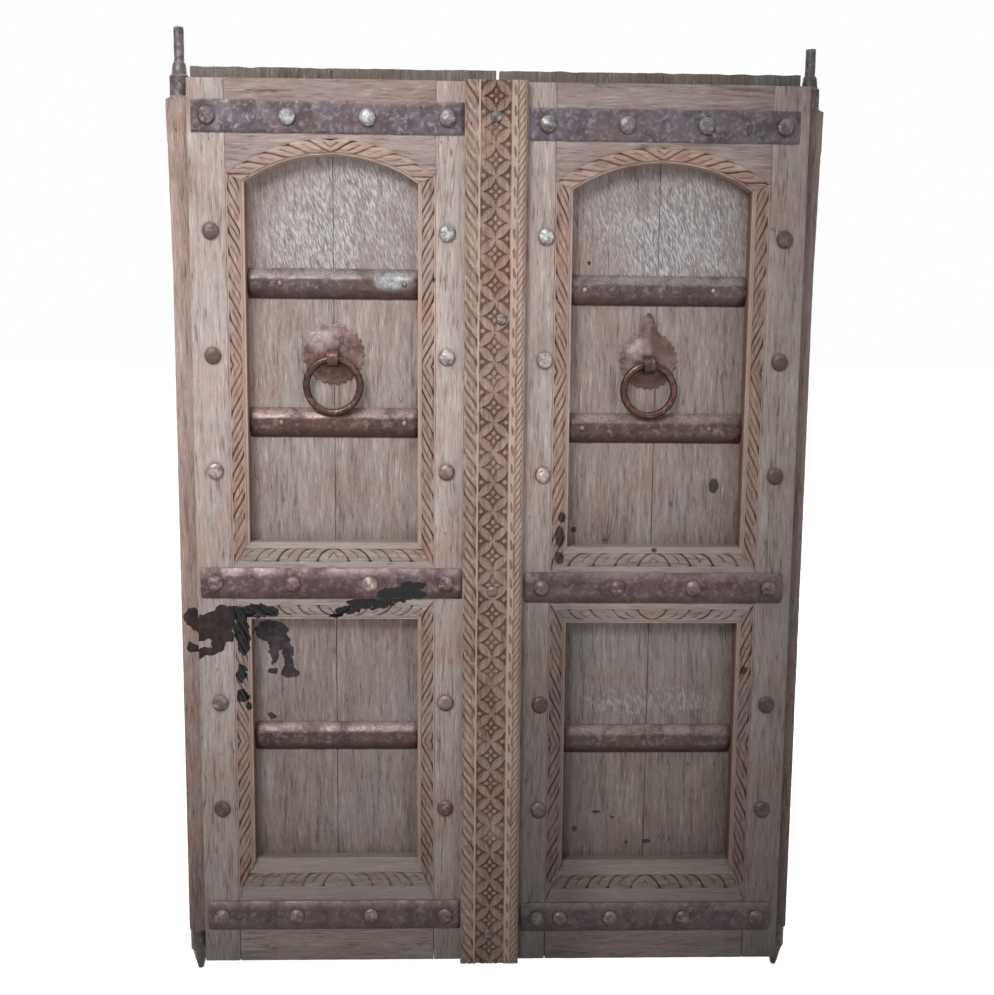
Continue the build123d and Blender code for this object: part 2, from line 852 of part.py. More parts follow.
with BuildPart() as strip:
    block(x_left, x_right, front, y0, strip_low, strip_high)
    block(0, x_right, y0 - strip_relief, y0, strip_low, strip_high, mode=Mode.SUBTRACT)
    block(x_field, x_field + field_width, front, floor, strip_low, strip_high, mode=Mode.SUBTRACT)

    petals_up = []
    petals_down = []
    flowers = []
    side_dots = []
    petal_run = sqrt(half_field ** 2 + (petal_pitch / 2) ** 2)
    petal_angle = degrees(atan2(petal_pitch / 2, half_field))
    for k in range(cells + 1):
        z_cross = strip_high - petal_pitch * k
        for way_x in (1, -1):
            for way_z in (1, -1):
                x = strip_centre + way_x * half_field / 2
                z = z_cross + way_z * petal_pitch / 4
                inside = strip_low < z - petal_pitch * 0.26 and z + petal_pitch * 0.26 < strip_high
                if inside:
                    same = way_x == way_z
                    petals = petals_up if same else petals_down
                    turn = petal_angle if same else -petal_angle
                    petals.append(facing_front(x, floor + skin, z, turn))
        if strip_low + edge_dot < z_cross < strip_high - edge_dot:
            side_dots.append(facing_front(strip_centre - half_field + edge_dot_in, floor + skin, z_cross, 45))
            side_dots.append(facing_front(strip_centre + half_field - edge_dot_in, floor + skin, z_cross, 45))
        z_flower = z_cross - petal_pitch / 2
        if z_flower - 2 * flower_spread > strip_low:
            for dx, dz in (
                (flower_spread, 0),
                (-flower_spread, 0),
                (0, flower_spread),
                (0, -flower_spread),
            ):
                flowers.append(facing_front(strip_centre + dx, floor + skin, z_flower + dz, 45))
    petal = boat(petal_run * 0.9, petal_width, field_depth + skin, 0)
    with Locations(*petals_up, *petals_down):
        add(petal)
    with Locations(*flowers):
        add(boat(flower_dot * 1.25, flower_dot * 1.25, field_depth * 0.7))
    with Locations(*side_dots):
        add(boat(edge_dot * 1.25, edge_dot * 1.25, field_depth * 0.7))

    # Leaf border.
    width = border_left[1] - border_left[0]
    middle = (border_left[0] + border_left[1]) / 2
    count = int(leaf_height / border_pitch)
    places = []
    short_places = []
    for i in range(count):
        z = strip_low + (i + 0.5) * leaf_height / count
        places.append(facing_back(middle, front - skin, z, border_slant))
        z_short = z - border_pitch * 0.45
        short_places.append(facing_back(middle + width * 0.12, front - skin, z_short, border_slant))
    carve(places, boat(width * 1.25, stroke_width, border_cut_depth, width * 0.2))
    carve(short_places, boat(width * 0.8, stroke_width * 0.7, border_cut_depth * 0.76, width * 0.1))

    # Notched border and rope border.
    places = []
    count = int(leaf_height / notch_pitch)
    for i in range(count):
        z = strip_low + (i + 0.5) * leaf_height / count
        places.append(facing_back(border_right[0] + notch_band * 0.5, front - skin, z, notch_slant))
    carve(places, boat(notch_length, notch_width, notch_depth, -notch_length * 0.16))
    places = []
    count = int(leaf_height / rope_pitch)
    rope_width = border_right[1] - border_right[0] - notch_band
    for i in range(count):
        z = strip_low + (i + 0.5) * leaf_height / count
        places.append(facing_back(border_right[1] - rope_width / 2, front - skin, z, -rope_slant))
    carve(places, boat(rope_width * 1.6, rope_cut_width, rope_cut_depth, 0))

    for x, z in strip_nails_at:
        with BuildSketch(facing_front(strip_centre + x, floor, z0 + z)):
            RegularPolygon(strip_nail_radius, 8)
        extrude(amount=field_depth + strip_nail_height, mode=Mode.SUBTRACT)
save(strip, "meeting_strip")

with BuildPart() as strip_nails:
    skirt = field_depth + strip_nail_height * 0.4
    for x, z in strip_nails_at:
        with BuildSketch(facing_front(strip_centre + x, floor, z0 + z)):
            RegularPolygon(strip_nail_radius, 8)
        extrude(amount=skirt)
        with BuildSketch(facing_front(strip_centre + x, floor - skirt, z0 + z)):
            RegularPolygon(strip_nail_crown, 8)
        extrude(amount=strip_nail_height * 0.6)
save(strip_nails, "strip_nails")
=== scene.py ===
"""Finish of the weathered double-leaf door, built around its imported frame.

Metres, +Z up, front towards -Y.
"""
import json
import math

import bmesh
import bpy
from mathutils import Matrix, Vector, noise


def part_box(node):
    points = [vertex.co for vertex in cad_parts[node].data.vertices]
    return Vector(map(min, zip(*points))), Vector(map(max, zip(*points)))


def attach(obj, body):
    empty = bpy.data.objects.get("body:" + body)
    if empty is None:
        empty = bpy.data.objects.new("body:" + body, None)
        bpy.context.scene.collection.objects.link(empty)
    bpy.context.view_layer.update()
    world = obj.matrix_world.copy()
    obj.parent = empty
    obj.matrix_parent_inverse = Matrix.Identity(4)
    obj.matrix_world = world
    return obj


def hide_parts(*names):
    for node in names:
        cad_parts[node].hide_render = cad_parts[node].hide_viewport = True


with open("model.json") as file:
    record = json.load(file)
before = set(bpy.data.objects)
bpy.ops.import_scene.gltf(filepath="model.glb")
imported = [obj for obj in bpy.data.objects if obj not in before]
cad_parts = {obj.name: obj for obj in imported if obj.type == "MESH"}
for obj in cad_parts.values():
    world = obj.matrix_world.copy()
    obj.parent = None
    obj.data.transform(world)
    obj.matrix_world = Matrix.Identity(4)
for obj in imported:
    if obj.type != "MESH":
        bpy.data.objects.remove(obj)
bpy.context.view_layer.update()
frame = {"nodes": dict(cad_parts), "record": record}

MM = 0.001
SIDES = {"left": -1, "right": 1}
TO_FRONT = Matrix.Rotation(math.pi / 2, 3, "X")
ON_SIDE = Matrix.Rotation(math.pi / 2, 3, "Y")

# Where the leaves stand, read from the frame
front_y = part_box("left_outer_stile")[0].y
panel_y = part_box("left_hinge_plank")[0].y
foot_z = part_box("left_outer_stile")[0].z
top_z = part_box("left_outer_stile")[1].z
strip_low, strip_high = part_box("meeting_strip")

# Carved mouldings
LEAF_PITCH = 38 * MM
LEAF_LEAN = 54 * MM
HOOK_LEAN = 28 * MM
LEAF_CUT = 1.6 * MM
LEAF_DEPTH = 3.6 * MM
SIDE_CARVED = 22 * MM
RIGHT_STRETCH = 1.13
BAND_RELIEF = 0.25
CARVE_ACROSS = 0.95 * MM
CARVE_ALONG = 1.2 * MM
SIDE_FILLET = 7 * MM
FILLET_DROP = 3 * MM
ARCH_RISE = 48 * MM
ARCH_BAND = 27 * MM
ARCH_BEAD = 4.5 * MM
ARCH_CARVED = ARCH_BAND - 5 * MM
ARCH_COLUMNS, ARCH_ROWS = 390, 110

# Open check in the left top rail
SLIT_X = -412 * MM
SLIT_HALF = 34 * MM
SLIT_HEIGHT = 1612 * MM
SLIT_DEPTH = 4 * MM

# Carved strip over the meeting line
FIELD_HALF = 27 * MM
FIELD_DEPTH = 4.4 * MM
PETAL_PITCH = 54.28 * MM
PETAL_HALF = 7.2 * MM
BORDER_PITCH = 38 * MM
BORDER_LEAN = 40 * MM
BORDER_WIDTH = 21 * MM
NOTCH_PITCH = 35 * MM
ROPE_PITCH = 14 * MM
BORDER_START = 2.5 * MM
BORDER_MARGINS = 6 * MM
NOTCH_START = 3.5 * MM
NOTCH_WIDTH = 7 * MM
ROPE_START = 8 * MM
ROPE_WIDTH = 13.5 * MM
ROPE_ARRIS = 2.8 * MM
STRIP_COLUMNS, STRIP_ROWS = 80, 1180

# Ironwork
SHEET = 3 * MM
STRAP_BULGE = 8.5 * MM
PANEL_STRAP_BULGE = 15 * MM
PLATE_TEETH = 26
PLATE_DOME = 8.5 * MM
POINT_SPREAD = 20


# Small sums

def clamp(value, low=0.0, high=1.0):
    return min(high, max(low, value))


def ease(low, high, value):
    """0 below low, 1 above high and a smooth rise between."""
    share = clamp((value - low) / (high - low))
    return share * share * (3 - 2 * share)


def hump(distance, width):
    """1 in the middle of a cut or ridge, falling to 0 some widths away."""
    return math.exp(-(distance / width) ** 2)


def wander(x, z, scale, seed=0.0):
    """Slow unevenness of hand work, from about -1 to 1."""
    return noise.noise(Vector((x / scale, seed, z / scale)))


def rise(spot):
    """Unevenness of hand work at a place, from about 0 to 1."""
    return 0.5 + 0.5 * noise.noise(spot)


def shade(red, green, blue):
    """Colour as the eye sees it, 0 to 255, as the linear colour that a shader takes."""
    seen = [value / 255 for value in (red, green, blue)]
    return tuple(v / 12.92 if v <= 0.04045 else ((v + 0.055) / 1.055) ** 2.4 for v in seen) + (1.0,)


# Finishes

class Finish:
    """One material, with short calls for the few kinds of node that these finishes use."""

    def __init__(self, name):
        self.material = bpy.data.materials.new(name)
        self.material.use_nodes = True
        self.tree = self.material.node_tree
        self.shader = self.tree.nodes["Principled BSDF"]
        self.place = self.make("ShaderNodeTexCoord").outputs["Object"]

    def make(self, kind, **settings):
        node = self.tree.nodes.new(kind)
        for key, value in settings.items():
            setattr(node, key, value)
        return node

    def feed(self, socket, value):
        if isinstance(value, bpy.types.NodeSocket):
            self.tree.links.new(value, socket)
        else:
            socket.default_value = value

    def set(self, **inputs):
        """Feeds the shader's own sockets; a low line in a name stands for a space."""
        for key, value in inputs.items():
            self.feed(self.shader.inputs[key.replace("_", " ")], value)

    def sum(self, operation, first, second=0.0, third=0.0):
        node = self.make("ShaderNodeMath", operation=operation)
        for socket, value in zip(node.inputs, (first, second, third)):
            self.feed(socket, value)
        return node.outputs[0]

    def stretch(self, longer, turn=(0, 0, 0)):
        """The same place, with what is drawn on it turned and made longer."""
        node = self.make("ShaderNodeMapping", vector_type="TEXTURE")
        self.feed(node.inputs["Vector"], self.place)
        node.inputs["Scale"].default_value = longer
        node.inputs["Rotation"].default_value = turn
        return node.outputs[0]

    def bend(self, vector, scale, amount):
        """The same place, pushed about by a slow noise."""
        push = self.make("ShaderNodeTexNoise")
        self.feed(push.inputs["Vector"], self.place)
        push.inputs["Scale"].default_value = scale
        push.inputs["Detail"].default_value = 1.0
        node = self.make("ShaderNodeVectorMath", operation="MULTIPLY_ADD")
        self.feed(node.inputs[0], push.outputs["Color"])
        node.inputs[1].default_value = amount
        self.feed(node.inputs[2], vector)
        return node.outputs[0]

    def noise(self, vector, scale, detail=3.0, rough=0.55, twist=0.0):
        node = self.make("ShaderNodeTexNoise")
        self.feed(node.inputs["Vector"], vector)
        node.inputs["Scale"].default_value = scale
        node.inputs["Detail"].default_value = detail
        node.inputs["Roughness"].default_value = rough
        node.inputs["Distortion"].default_value = twist
        return node.outputs["Fac"]

    def cells(self, vector, scale):
        node = self.make("ShaderNodeTexVoronoi")
        self.feed(node.inputs["Vector"], vector)
        node.inputs["Scale"].default_value = scale
        return node.outputs["Distance"]

    def between(self, value, low, high, to_low=0.0, to_high=1.0):
        node = self.make("ShaderNodeMapRange", interpolation_type="SMOOTHSTEP")
        self.feed(node.inputs["Value"], value)
        node.inputs["From Min"].default_value = low
        node.inputs["From Max"].default_value = high
        node.inputs["To Min"].default_value = to_low
        node.inputs["To Max"].default_value = to_high
        return node.outputs["Result"]

    def along(self, value, low, high):
        """Even share of the way from low to high."""
        return self.sum("MULTIPLY_ADD", value, 1 / (high - low), -low / (high - low))

    def ramp(self, value, stops):
        """Level that changes evenly from stop to stop, each a share and its level."""
        node = self.make("ShaderNodeValToRGB")
        self.feed(node.inputs["Fac"], value)
        slope = node.color_ramp.elements
        for number, (share, level) in enumerate(stops):
            stop = slope[number] if number < 2 else slope.new(share)
            stop.position = share
            stop.color = (level, level, level, 1)
        return node.outputs["Color"]

    def level(self, share, first, second):
        """Number between two others."""
        node = self.make("ShaderNodeMix")
        self.feed(node.inputs[0], share)
        self.feed(node.inputs[2], first)
        self.feed(node.inputs[3], second)
        return node.outputs[0]

    def mix(self, share, first, second, blend="MIX"):
        node = self.make("ShaderNodeMix", data_type="RGBA", blend_type=blend)
        colour_first, colour_second = node.inputs[6], node.inputs[7]
        self.feed(node.inputs[0], share)
        self.feed(colour_first, first)
        self.feed(colour_second, second)
        return node.outputs[2]

    def times(self, colour, tint):
        """The colour multiplied by a tint."""
        return self.mix(1.0, colour, tint, "MULTIPLY")

    def dim(self, colour, level):
        """The colour made lighter or darker by a number."""
        node = self.make("ShaderNodeVectorMath", operation="SCALE")
        self.feed(node.inputs[0], colour)
        self.feed(node.inputs["Scale"], level)
        return node.outputs[0]

    def split(self):
        node = self.make("ShaderNodeSeparateXYZ")
        self.feed(node.inputs[0], self.place)
        return node.outputs

    def mark(self, name):
        """A value stored on the mesh."""
        return self.make("ShaderNodeAttribute", attribute_name=name).outputs["Fac"]

    def bump(self, height, strength, distance):
        node = self.make("ShaderNodeBump")
        self.feed(node.inputs["Height"], height)
        node.inputs["Strength"].default_value = strength
        node.inputs["Distance"].default_value = distance
        return node.outputs["Normal"]


# Stains and marks, and spots of painted highlight and painted shade, each as x, height above the leaf
# bottoms, half width and half height, all in mm

TAR = (
    (-512, 659, 35, 24), (-563, 665, 16, 18), (-488, 682, 28, 16), (-433, 685, 40, 13),
    (-463, 648, 14, 28), (-496, 637, 19, 14), (-507, 622, 13, 14), (-526, 609, 18, 8),
    (-547, 603, 16, 8), (-566, 606, 9, 10), (-415, 638, 31, 21), (-395, 616, 14, 14),
    (-384, 600, 11, 16), (-410, 594, 9, 21), (-413, 563, 9, 7), (-381, 558, 18, 11),
    (-466, 567, 9, 18), (-465, 523, 11, 13), (-453, 504, 6, 9), (-415, 473, 7, 5),
    (-535, 650, 30, 22), (-462, 618, 10, 18), (-412, 612, 9, 30), (-384, 578, 9, 24),
    (-170, 719, 46, 15), (-150, 735, 24, 8), (-226, 700, 44, 11), (-270, 687, 24, 8),
    (-290, 677, 14, 5),
)
MARKS = (
    (410, 917, 9, 14), (121, 826, 9, 20), (125, 862, 7, 10), (122, 786, 8, 12),
    (149, 833, 5, 5), (296, 801, 5, 4), (169, 1324, 4, 4), (203, 281, 9, 3), (234, 271, 4, 3),
    (161, 247, 5, 6), (301, 222, 9, 4), (262, 220, 3, 4), (471, 572, 7, 8), (-112, 1290, 3, 5),
)
TORN = (
    (-255, 1400, 150, 120), (-340, 1350, 80, 90), (-180, 1340, 70, 90),
    (300, 1410, 165, 80), (330, 1330, 130, 70), (300, 500, 120, 24),
)
HEAD_SPOT = (18, 18)
BRIGHT_HEADS = [place + HEAD_SPOT for place in (
    (-88, 1372), (-228, 738), (-228, 1569), (-369, 1569), (-506, 945),
    (-88, 1153), (88, 1368), (88, 1149), (88, 941),
)]
DARK_HEADS = [place + HEAD_SPOT for place in (
    (-506, 1372), (-506, 1153), (515, 1368), (515, 1149), (515, 941),
    (515, 507), (515, 301), (88, 507), (-506, 305),
)]
# Painted shade in rust brown on the pull plates, mostly their lower halves inside the rings.
PLATE_SHADE = ((-291, 1125, 40, 30), (283, 1120, 40, 34), (295, 1190, 14, 40))
# Painted highlights on the upper sides of the domed pull plates.
PLATE_HIGHLIGHT = ((-318, 1185, 34, 26), (262, 1168, 26, 24))
# Painted highlight at the right end of the left high panel strap.
STRAP_HIGHLIGHT = ((-186, 1288, 38, 20),)


TAR_RAGGED = 15 * MM
TORN_RAGGED = 70 * MM
TORN_LEAN = math.radians(-17)
MELT = 0.3
DOOR_HALF = 0.59


def line_mask(finish, value, level, width):
    """Thin line where a noise crosses one level."""
    off = finish.sum("ABSOLUTE", finish.sum("SUBTRACT", value, level))
    return finish.between(off, 0.0, width, 1.0, 0.0)


def blots(finish, spots, ragged):
    """How near the nearest oval blot is: under 1 inside one, with a ragged edge."""
    place = finish.bend(finish.place, 75, (ragged,) * 3)
    nearest = 9.0
    for x, height, wide, tall in spots:
        middle = Vector((x * MM + ragged / 2, 0, height * MM + foot_z + ragged / 2))
        share = Vector((1 / (wide * MM), 0, 1 / (tall * MM)))
        off = finish.make("ShaderNodeVectorMath", operation="MULTIPLY_ADD")
        finish.feed(off.inputs[0], place)
        off.inputs[1].default_value = share
        off.inputs[2].default_value = (-middle.x * share.x, 0, -middle.z * share.z)
        span = finish.make("ShaderNodeVectorMath", operation="LENGTH")
        finish.feed(span.inputs[0], off.outputs[0])
        nearest = finish.sum("SMOOTH_MIN", span.outputs["Value"], nearest, MELT)
    return nearest


def on_front(f):
    """1 on what faces the front of the door, 0 on its back."""
    return f.between(f.split()["Y"], panel_y + 12 * MM, panel_y + 3 * MM)


def painted_light_and_grime(f, falloff):
    """Brightness by place: painted light falling off from the upper left, with grime low down, so
    lighter high on the left and darker low down and towards the right.
    """
    x, _, z = f.split()
    tall = f.ramp(f.along(z, foot_z, top_z), (
        (0.0, 0.27), (0.06, 0.36), (0.12, 0.44), (0.27, 0.60), (0.40, 0.70),
        (0.50, 0.80), (0.62, 0.96), (0.70, 1.0), (0.86, 0.98), (0.905, 0.92), (0.94, 1.0), (1.0, 0.86),
    ))
    wide = f.ramp(f.along(x, -DOOR_HALF, DOOR_HALF), (
        (0.0, 0.93), (0.42, 0.94), (0.55, 0.82), (0.75, 0.74), (0.88, 0.60), (0.94, 0.44), (1.0, 0.42),
    ))
    # Darker beside the meeting strip, low down on the right leaf.
    by_strip = f.sum("MULTIPLY", f.between(x, 0.03, 0.06), f.between(x, 0.24, 0.13))
    by_strip = f.sum("MULTIPLY", by_strip, f.between(z, 1.00, 0.62))
    level = f.sum("MULTIPLY", tall, wide)
    level = f.sum("MULTIPLY", level, f.sum("MULTIPLY_ADD", by_strip, -0.42, 1.0))
    return f.sum("POWER", level, falloff)


def tarred(f, colour, rough):
    """Spilt tar over a finish: dull brown where it is thin, black and glossy where it ran together."""
    tar = f.sum("MULTIPLY", f.between(blots(f, TAR, TAR_RAGGED), 1.04, 0.96), on_front(f))
    x, y, _ = f.split()
    raised = f.between(y, panel_y - 8 * MM, panel_y - 12 * MM)
    thick = f.sum("MULTIPLY", f.between(x, -0.500, -0.470), raised)
    clots = f.between(f.noise(f.place, 60, 3), 0.40, 0.62)
    dull = f.mix(clots, shade(24, 15, 15), shade(48, 32, 30))
    splash = f.mix(clots, shade(34, 26, 28), shade(58, 49, 53))
    dull = f.mix(f.between(x, -0.452, -0.440), dull, splash)
    coat = f.mix(thick, dull, shade(16, 14, 16))
    coat_rough = f.sum("MULTIPLY_ADD", thick, -0.42, 0.62)
    return f.mix(tar, colour, coat), f.level(tar, rough, coat_rough)


def torn_grain(f, colour, patch):
    """Whitish shreds with painted shadow beside them where the panels' grain is torn, and greenish sawn
    plank ends.
    """
    place = f.bend(f.stretch((1, 1, 6), (0, TORN_LEAN, 0)), 16, (0.005, 0.0, 0.0))
    shreds = f.noise(place, 560, 2, 0.5)
    where = f.between(blots(f, TORN, TORN_RAGGED), 1.30, 0.45)
    where = f.sum("MULTIPLY", where, f.between(patch, 0.34, 0.56, 0.35, 1.0))
    where = f.sum("MULTIPLY", f.sum("MULTIPLY_ADD", where, 0.85, 0.10), on_front(f))
    pale = f.between(shreds, 0.50, 0.62, 0.0, 0.75)
    # Painted shadow beside the shreds.
    shred_shadow = f.between(shreds, 0.47, 0.36, 0.0, 0.60)
    colour = f.mix(f.sum("MULTIPLY", where, 0.60), colour, shade(164, 162, 164))
    colour = f.mix(f.sum("MULTIPLY", where, pale), colour, shade(208, 208, 212))
    colour = f.mix(f.sum("MULTIPLY", where, shred_shadow), colour, shade(106, 96, 95))
    ends = f.between(f.split()["Z"], top_z - 4 * MM, top_z + 6 * MM)
    return f.mix(ends, colour, f.times(colour, shade(196, 202, 196)))


def old_wood(
    name, pale, middle, dark, grain="Z", falloff=1.0, grey=0.4,
    carved=None, plain=("MIX", 0.30, shade(214, 190, 176)), reveal=False, torn=False, tar=False,
):
    """Bare weathered wood: fibres and checks along the grain, bleached and pinkish patches, grime and
    painted light.

    carved tints the bottom of the carving with painted shade and some dirt, and plain is how the
    uncarved parts differ from it: blend, share and tint. A reveal is the wall of an opening, darkened
    with painted shade and dirt.
    """
    f = Finish(name)

    def fibres(scale, length, detail, rough=0.6):
        long_way = (1, 1, length) if grain == "Z" else (length, 1, 1)
        push = (0.007, 0.007, 0.0) if grain == "Z" else (0.0, 0.007, 0.007)
        return f.noise(f.bend(f.stretch(long_way), 8.0, push), scale, detail, rough)

    hair = fibres(430, 13, 3, 0.65)
    streak = fibres(150, 11, 4)
    band = fibres(30, 6, 3)
    patch = f.noise(f.place, 6.0, 4, 0.6)
    speck = f.noise(f.place, 300, 2, 0.6)

    tone = f.sum("MULTIPLY_ADD", streak, 0.36, f.sum("MULTIPLY", band, 0.30))
    tone = f.sum("MULTIPLY_ADD", hair, 0.34, tone)
    colour = f.mix(f.between(tone, 0.38, 0.50), dark, middle)
    colour = f.mix(f.between(tone, 0.50, 0.63), colour, pale)
    pink = f.times(colour, shade(255, 242, 237))
    colour = f.mix(f.between(f.noise(f.place, 9.0, 3, 0.6), 0.50, 0.66), colour, pink)
    washed = f.mix(0.55, colour, shade(182, 180, 182))
    bleached = f.between(f.noise(f.place, 4.0, 4, 0.65), 0.44, 0.62, 0.0, grey)
    bleached = f.sum("MULTIPLY", bleached, f.between(streak, 0.38, 0.60, 0.4, 1.0))
    colour = f.mix(bleached, colour, washed)
    colour = f.mix(f.between(patch, 0.46, 0.30, 0.0, 0.30), colour, dark)

    if torn:
        colour = torn_grain(f, colour, patch)

    checks = line_mask(f, fibres(46, 16, 2, 0.5), 0.5, 0.007)
    checks = f.sum("MULTIPLY", checks, f.between(f.noise(f.place, 13, 2), 0.50, 0.60))
    colour = f.mix(f.sum("MULTIPLY", checks, 0.6), colour, shade(58, 44, 40))
    colour = f.mix(f.between(hair, 0.40, 0.30, 0.0, 0.45), colour, shade(84, 66, 60))
    colour = f.mix(f.between(hair, 0.60, 0.72, 0.0, 0.35), colour, shade(226, 216, 210))
    if carved:
        relief = f.mark("relief")
        blend, share, tint = plain
        # Painted shade, with some dirt, deepening towards the bottom of the carving.
        colour = f.mix(f.between(relief, 0.50, 0.95), colour, f.times(colour, carved))
        colour = f.mix(f.between(relief, 0.20, 0.05, 0.0, share), colour, tint, blend)
    if reveal:
        # Painted shade and dirt on the walls of the opening.
        inside = f.between(f.split()["Y"], front_y + 5 * MM, front_y + 16 * MM)
        colour = f.mix(inside, colour, f.times(colour, shade(196, 170, 160)))

    # Painted light falling off from the upper left, with grime low down.
    colour = f.dim(colour, painted_light_and_grime(f, falloff))
    marks = f.sum("MULTIPLY", f.between(blots(f, MARKS, 5 * MM), 1.15, 0.85), on_front(f))
    colour = f.mix(f.sum("MULTIPLY", marks, 0.85), colour, shade(30, 22, 20))
    rough = f.between(speck, 0.3, 0.7, 0.74, 0.9)
    if tar:
        colour, rough = tarred(f, colour, rough)
    f.set(Base_Color=colour)
    f.set(Roughness=rough)
    f.set(Specular_IOR_Level=0.25)
    ridges = f.sum("MULTIPLY_ADD", hair, 0.5, f.sum("MULTIPLY", streak, 1.1))
    ridges = f.sum("MULTIPLY_ADD", checks, -1.4, ridges)
    f.set(Normal=f.bump(ridges, 0.5, 1.5 * MM))
    return f.material


def old_iron(
    name, dark, middle, light, rust=0.35, rough=(0.40, 0.62), metal=0.5,
    falloff=0.8, dust_and_highlight=0.6, rubbed_and_highlit=(), silver_and_highlight=shade(206, 208, 210), dull=(), tar=False,
):
    """Forged iron: mottled scale, dust and a painted highlight on its upper side, painted shade in rust
    brown below, pits, rubbed spots, painted highlights and painted shade.
    """
    f = Finish(name)
    mottle = f.noise(f.place, 24, 5, 0.62, 0.5)
    fine = f.noise(f.place, 95, 5, 0.7, 0.4)
    clouds = f.noise(f.place, 9, 3, 0.6)
    pits = f.cells(f.bend(f.place, 60, (0.004, 0.004, 0.004)), 150)
    grain = f.noise(f.place, 420, 3, 0.6)
    colour = f.mix(f.between(mottle, 0.36, 0.60), dark, middle)
    colour = f.mix(f.between(fine, 0.48, 0.68, 0.0, 0.85), colour, light)
    colour = f.mix(f.between(clouds, 0.46, 0.64, 0.0, rust), colour, shade(98, 66, 58))
    facing = f.make("ShaderNodeSeparateXYZ")
    f.feed(facing.inputs[0], f.make("ShaderNodeTexCoord").outputs["Normal"])
    upward = facing.outputs["Z"]
    clean = f.between(mottle, 0.35, 0.6, 0.4, 1.0)
    speckle = f.sum("MULTIPLY", clean, f.between(grain, 0.40, 0.56, 0.45, 1.0))
    # Upper faces lighter: dust with a painted highlight from the light above.
    top_dust_and_highlight = f.sum("MULTIPLY", f.between(upward, 0.10, 0.70, 0.0, dust_and_highlight), speckle)
    colour = f.mix(top_dust_and_highlight, colour, shade(186, 182, 184))
    # Downward faces darker in rust brown: painted shade.
    colour = f.mix(f.between(upward, -0.05, -0.60, 0.0, 0.7), colour, shade(66, 44, 40))
    # Light spots: rubbed silver nail heads, and painted highlights on the panel straps and pull plates.
    if rubbed_and_highlit:
        near = f.between(blots(f, rubbed_and_highlit, 4 * MM), 1.25, 0.3)
        bare_and_highlight_tint = f.mix(f.between(fine, 0.40, 0.58), shade(136, 136, 140), silver_and_highlight)
        colour = f.mix(f.sum("MULTIPLY", near, 0.7), colour, bare_and_highlight_tint)
    # Dark spots: dark nail heads, and painted shade on the pull plates.
    if dull:
        near = f.between(blots(f, dull, 4 * MM), 1.2, 0.5)
        colour = f.mix(f.sum("MULTIPLY", near, 0.65), colour, shade(84, 62, 56))
    browner = f.times(colour, shade(255, 228, 219))
    colour = f.mix(f.between(f.split()["Z"], foot_z + 1.50, foot_z + 0.95), colour, browner)
    colour = f.mix(f.between(pits, 0.16, 0.02, 0.0, 0.5), colour, shade(40, 32, 32))
    # Painted light falling off from the upper left, with grime low down.
    colour = f.dim(colour, painted_light_and_grime(f, falloff))
    shine = f.between(mottle, 0.35, 0.65, rough[1], rough[0])
    if tar:
        colour, shine = tarred(f, colour, shine)
    f.set(Base_Color=colour)
    f.set(Metallic=metal)
    f.set(Roughness=shine)
    beaten = f.sum("MULTIPLY_ADD", grain, 0.22, f.noise(f.place, 60, 2))
    beaten = f.sum("ADD", beaten, f.between(pits, 0.0, 0.25, 0.0, 0.3))
    f.set(Normal=f.bump(beaten, 0.4, 1.5 * MM))
    return f.material


# Painted shade with some dirt at the bottom of the leaf carving.
LEAF_HOLLOW_SHADE = shade(118, 97, 87)

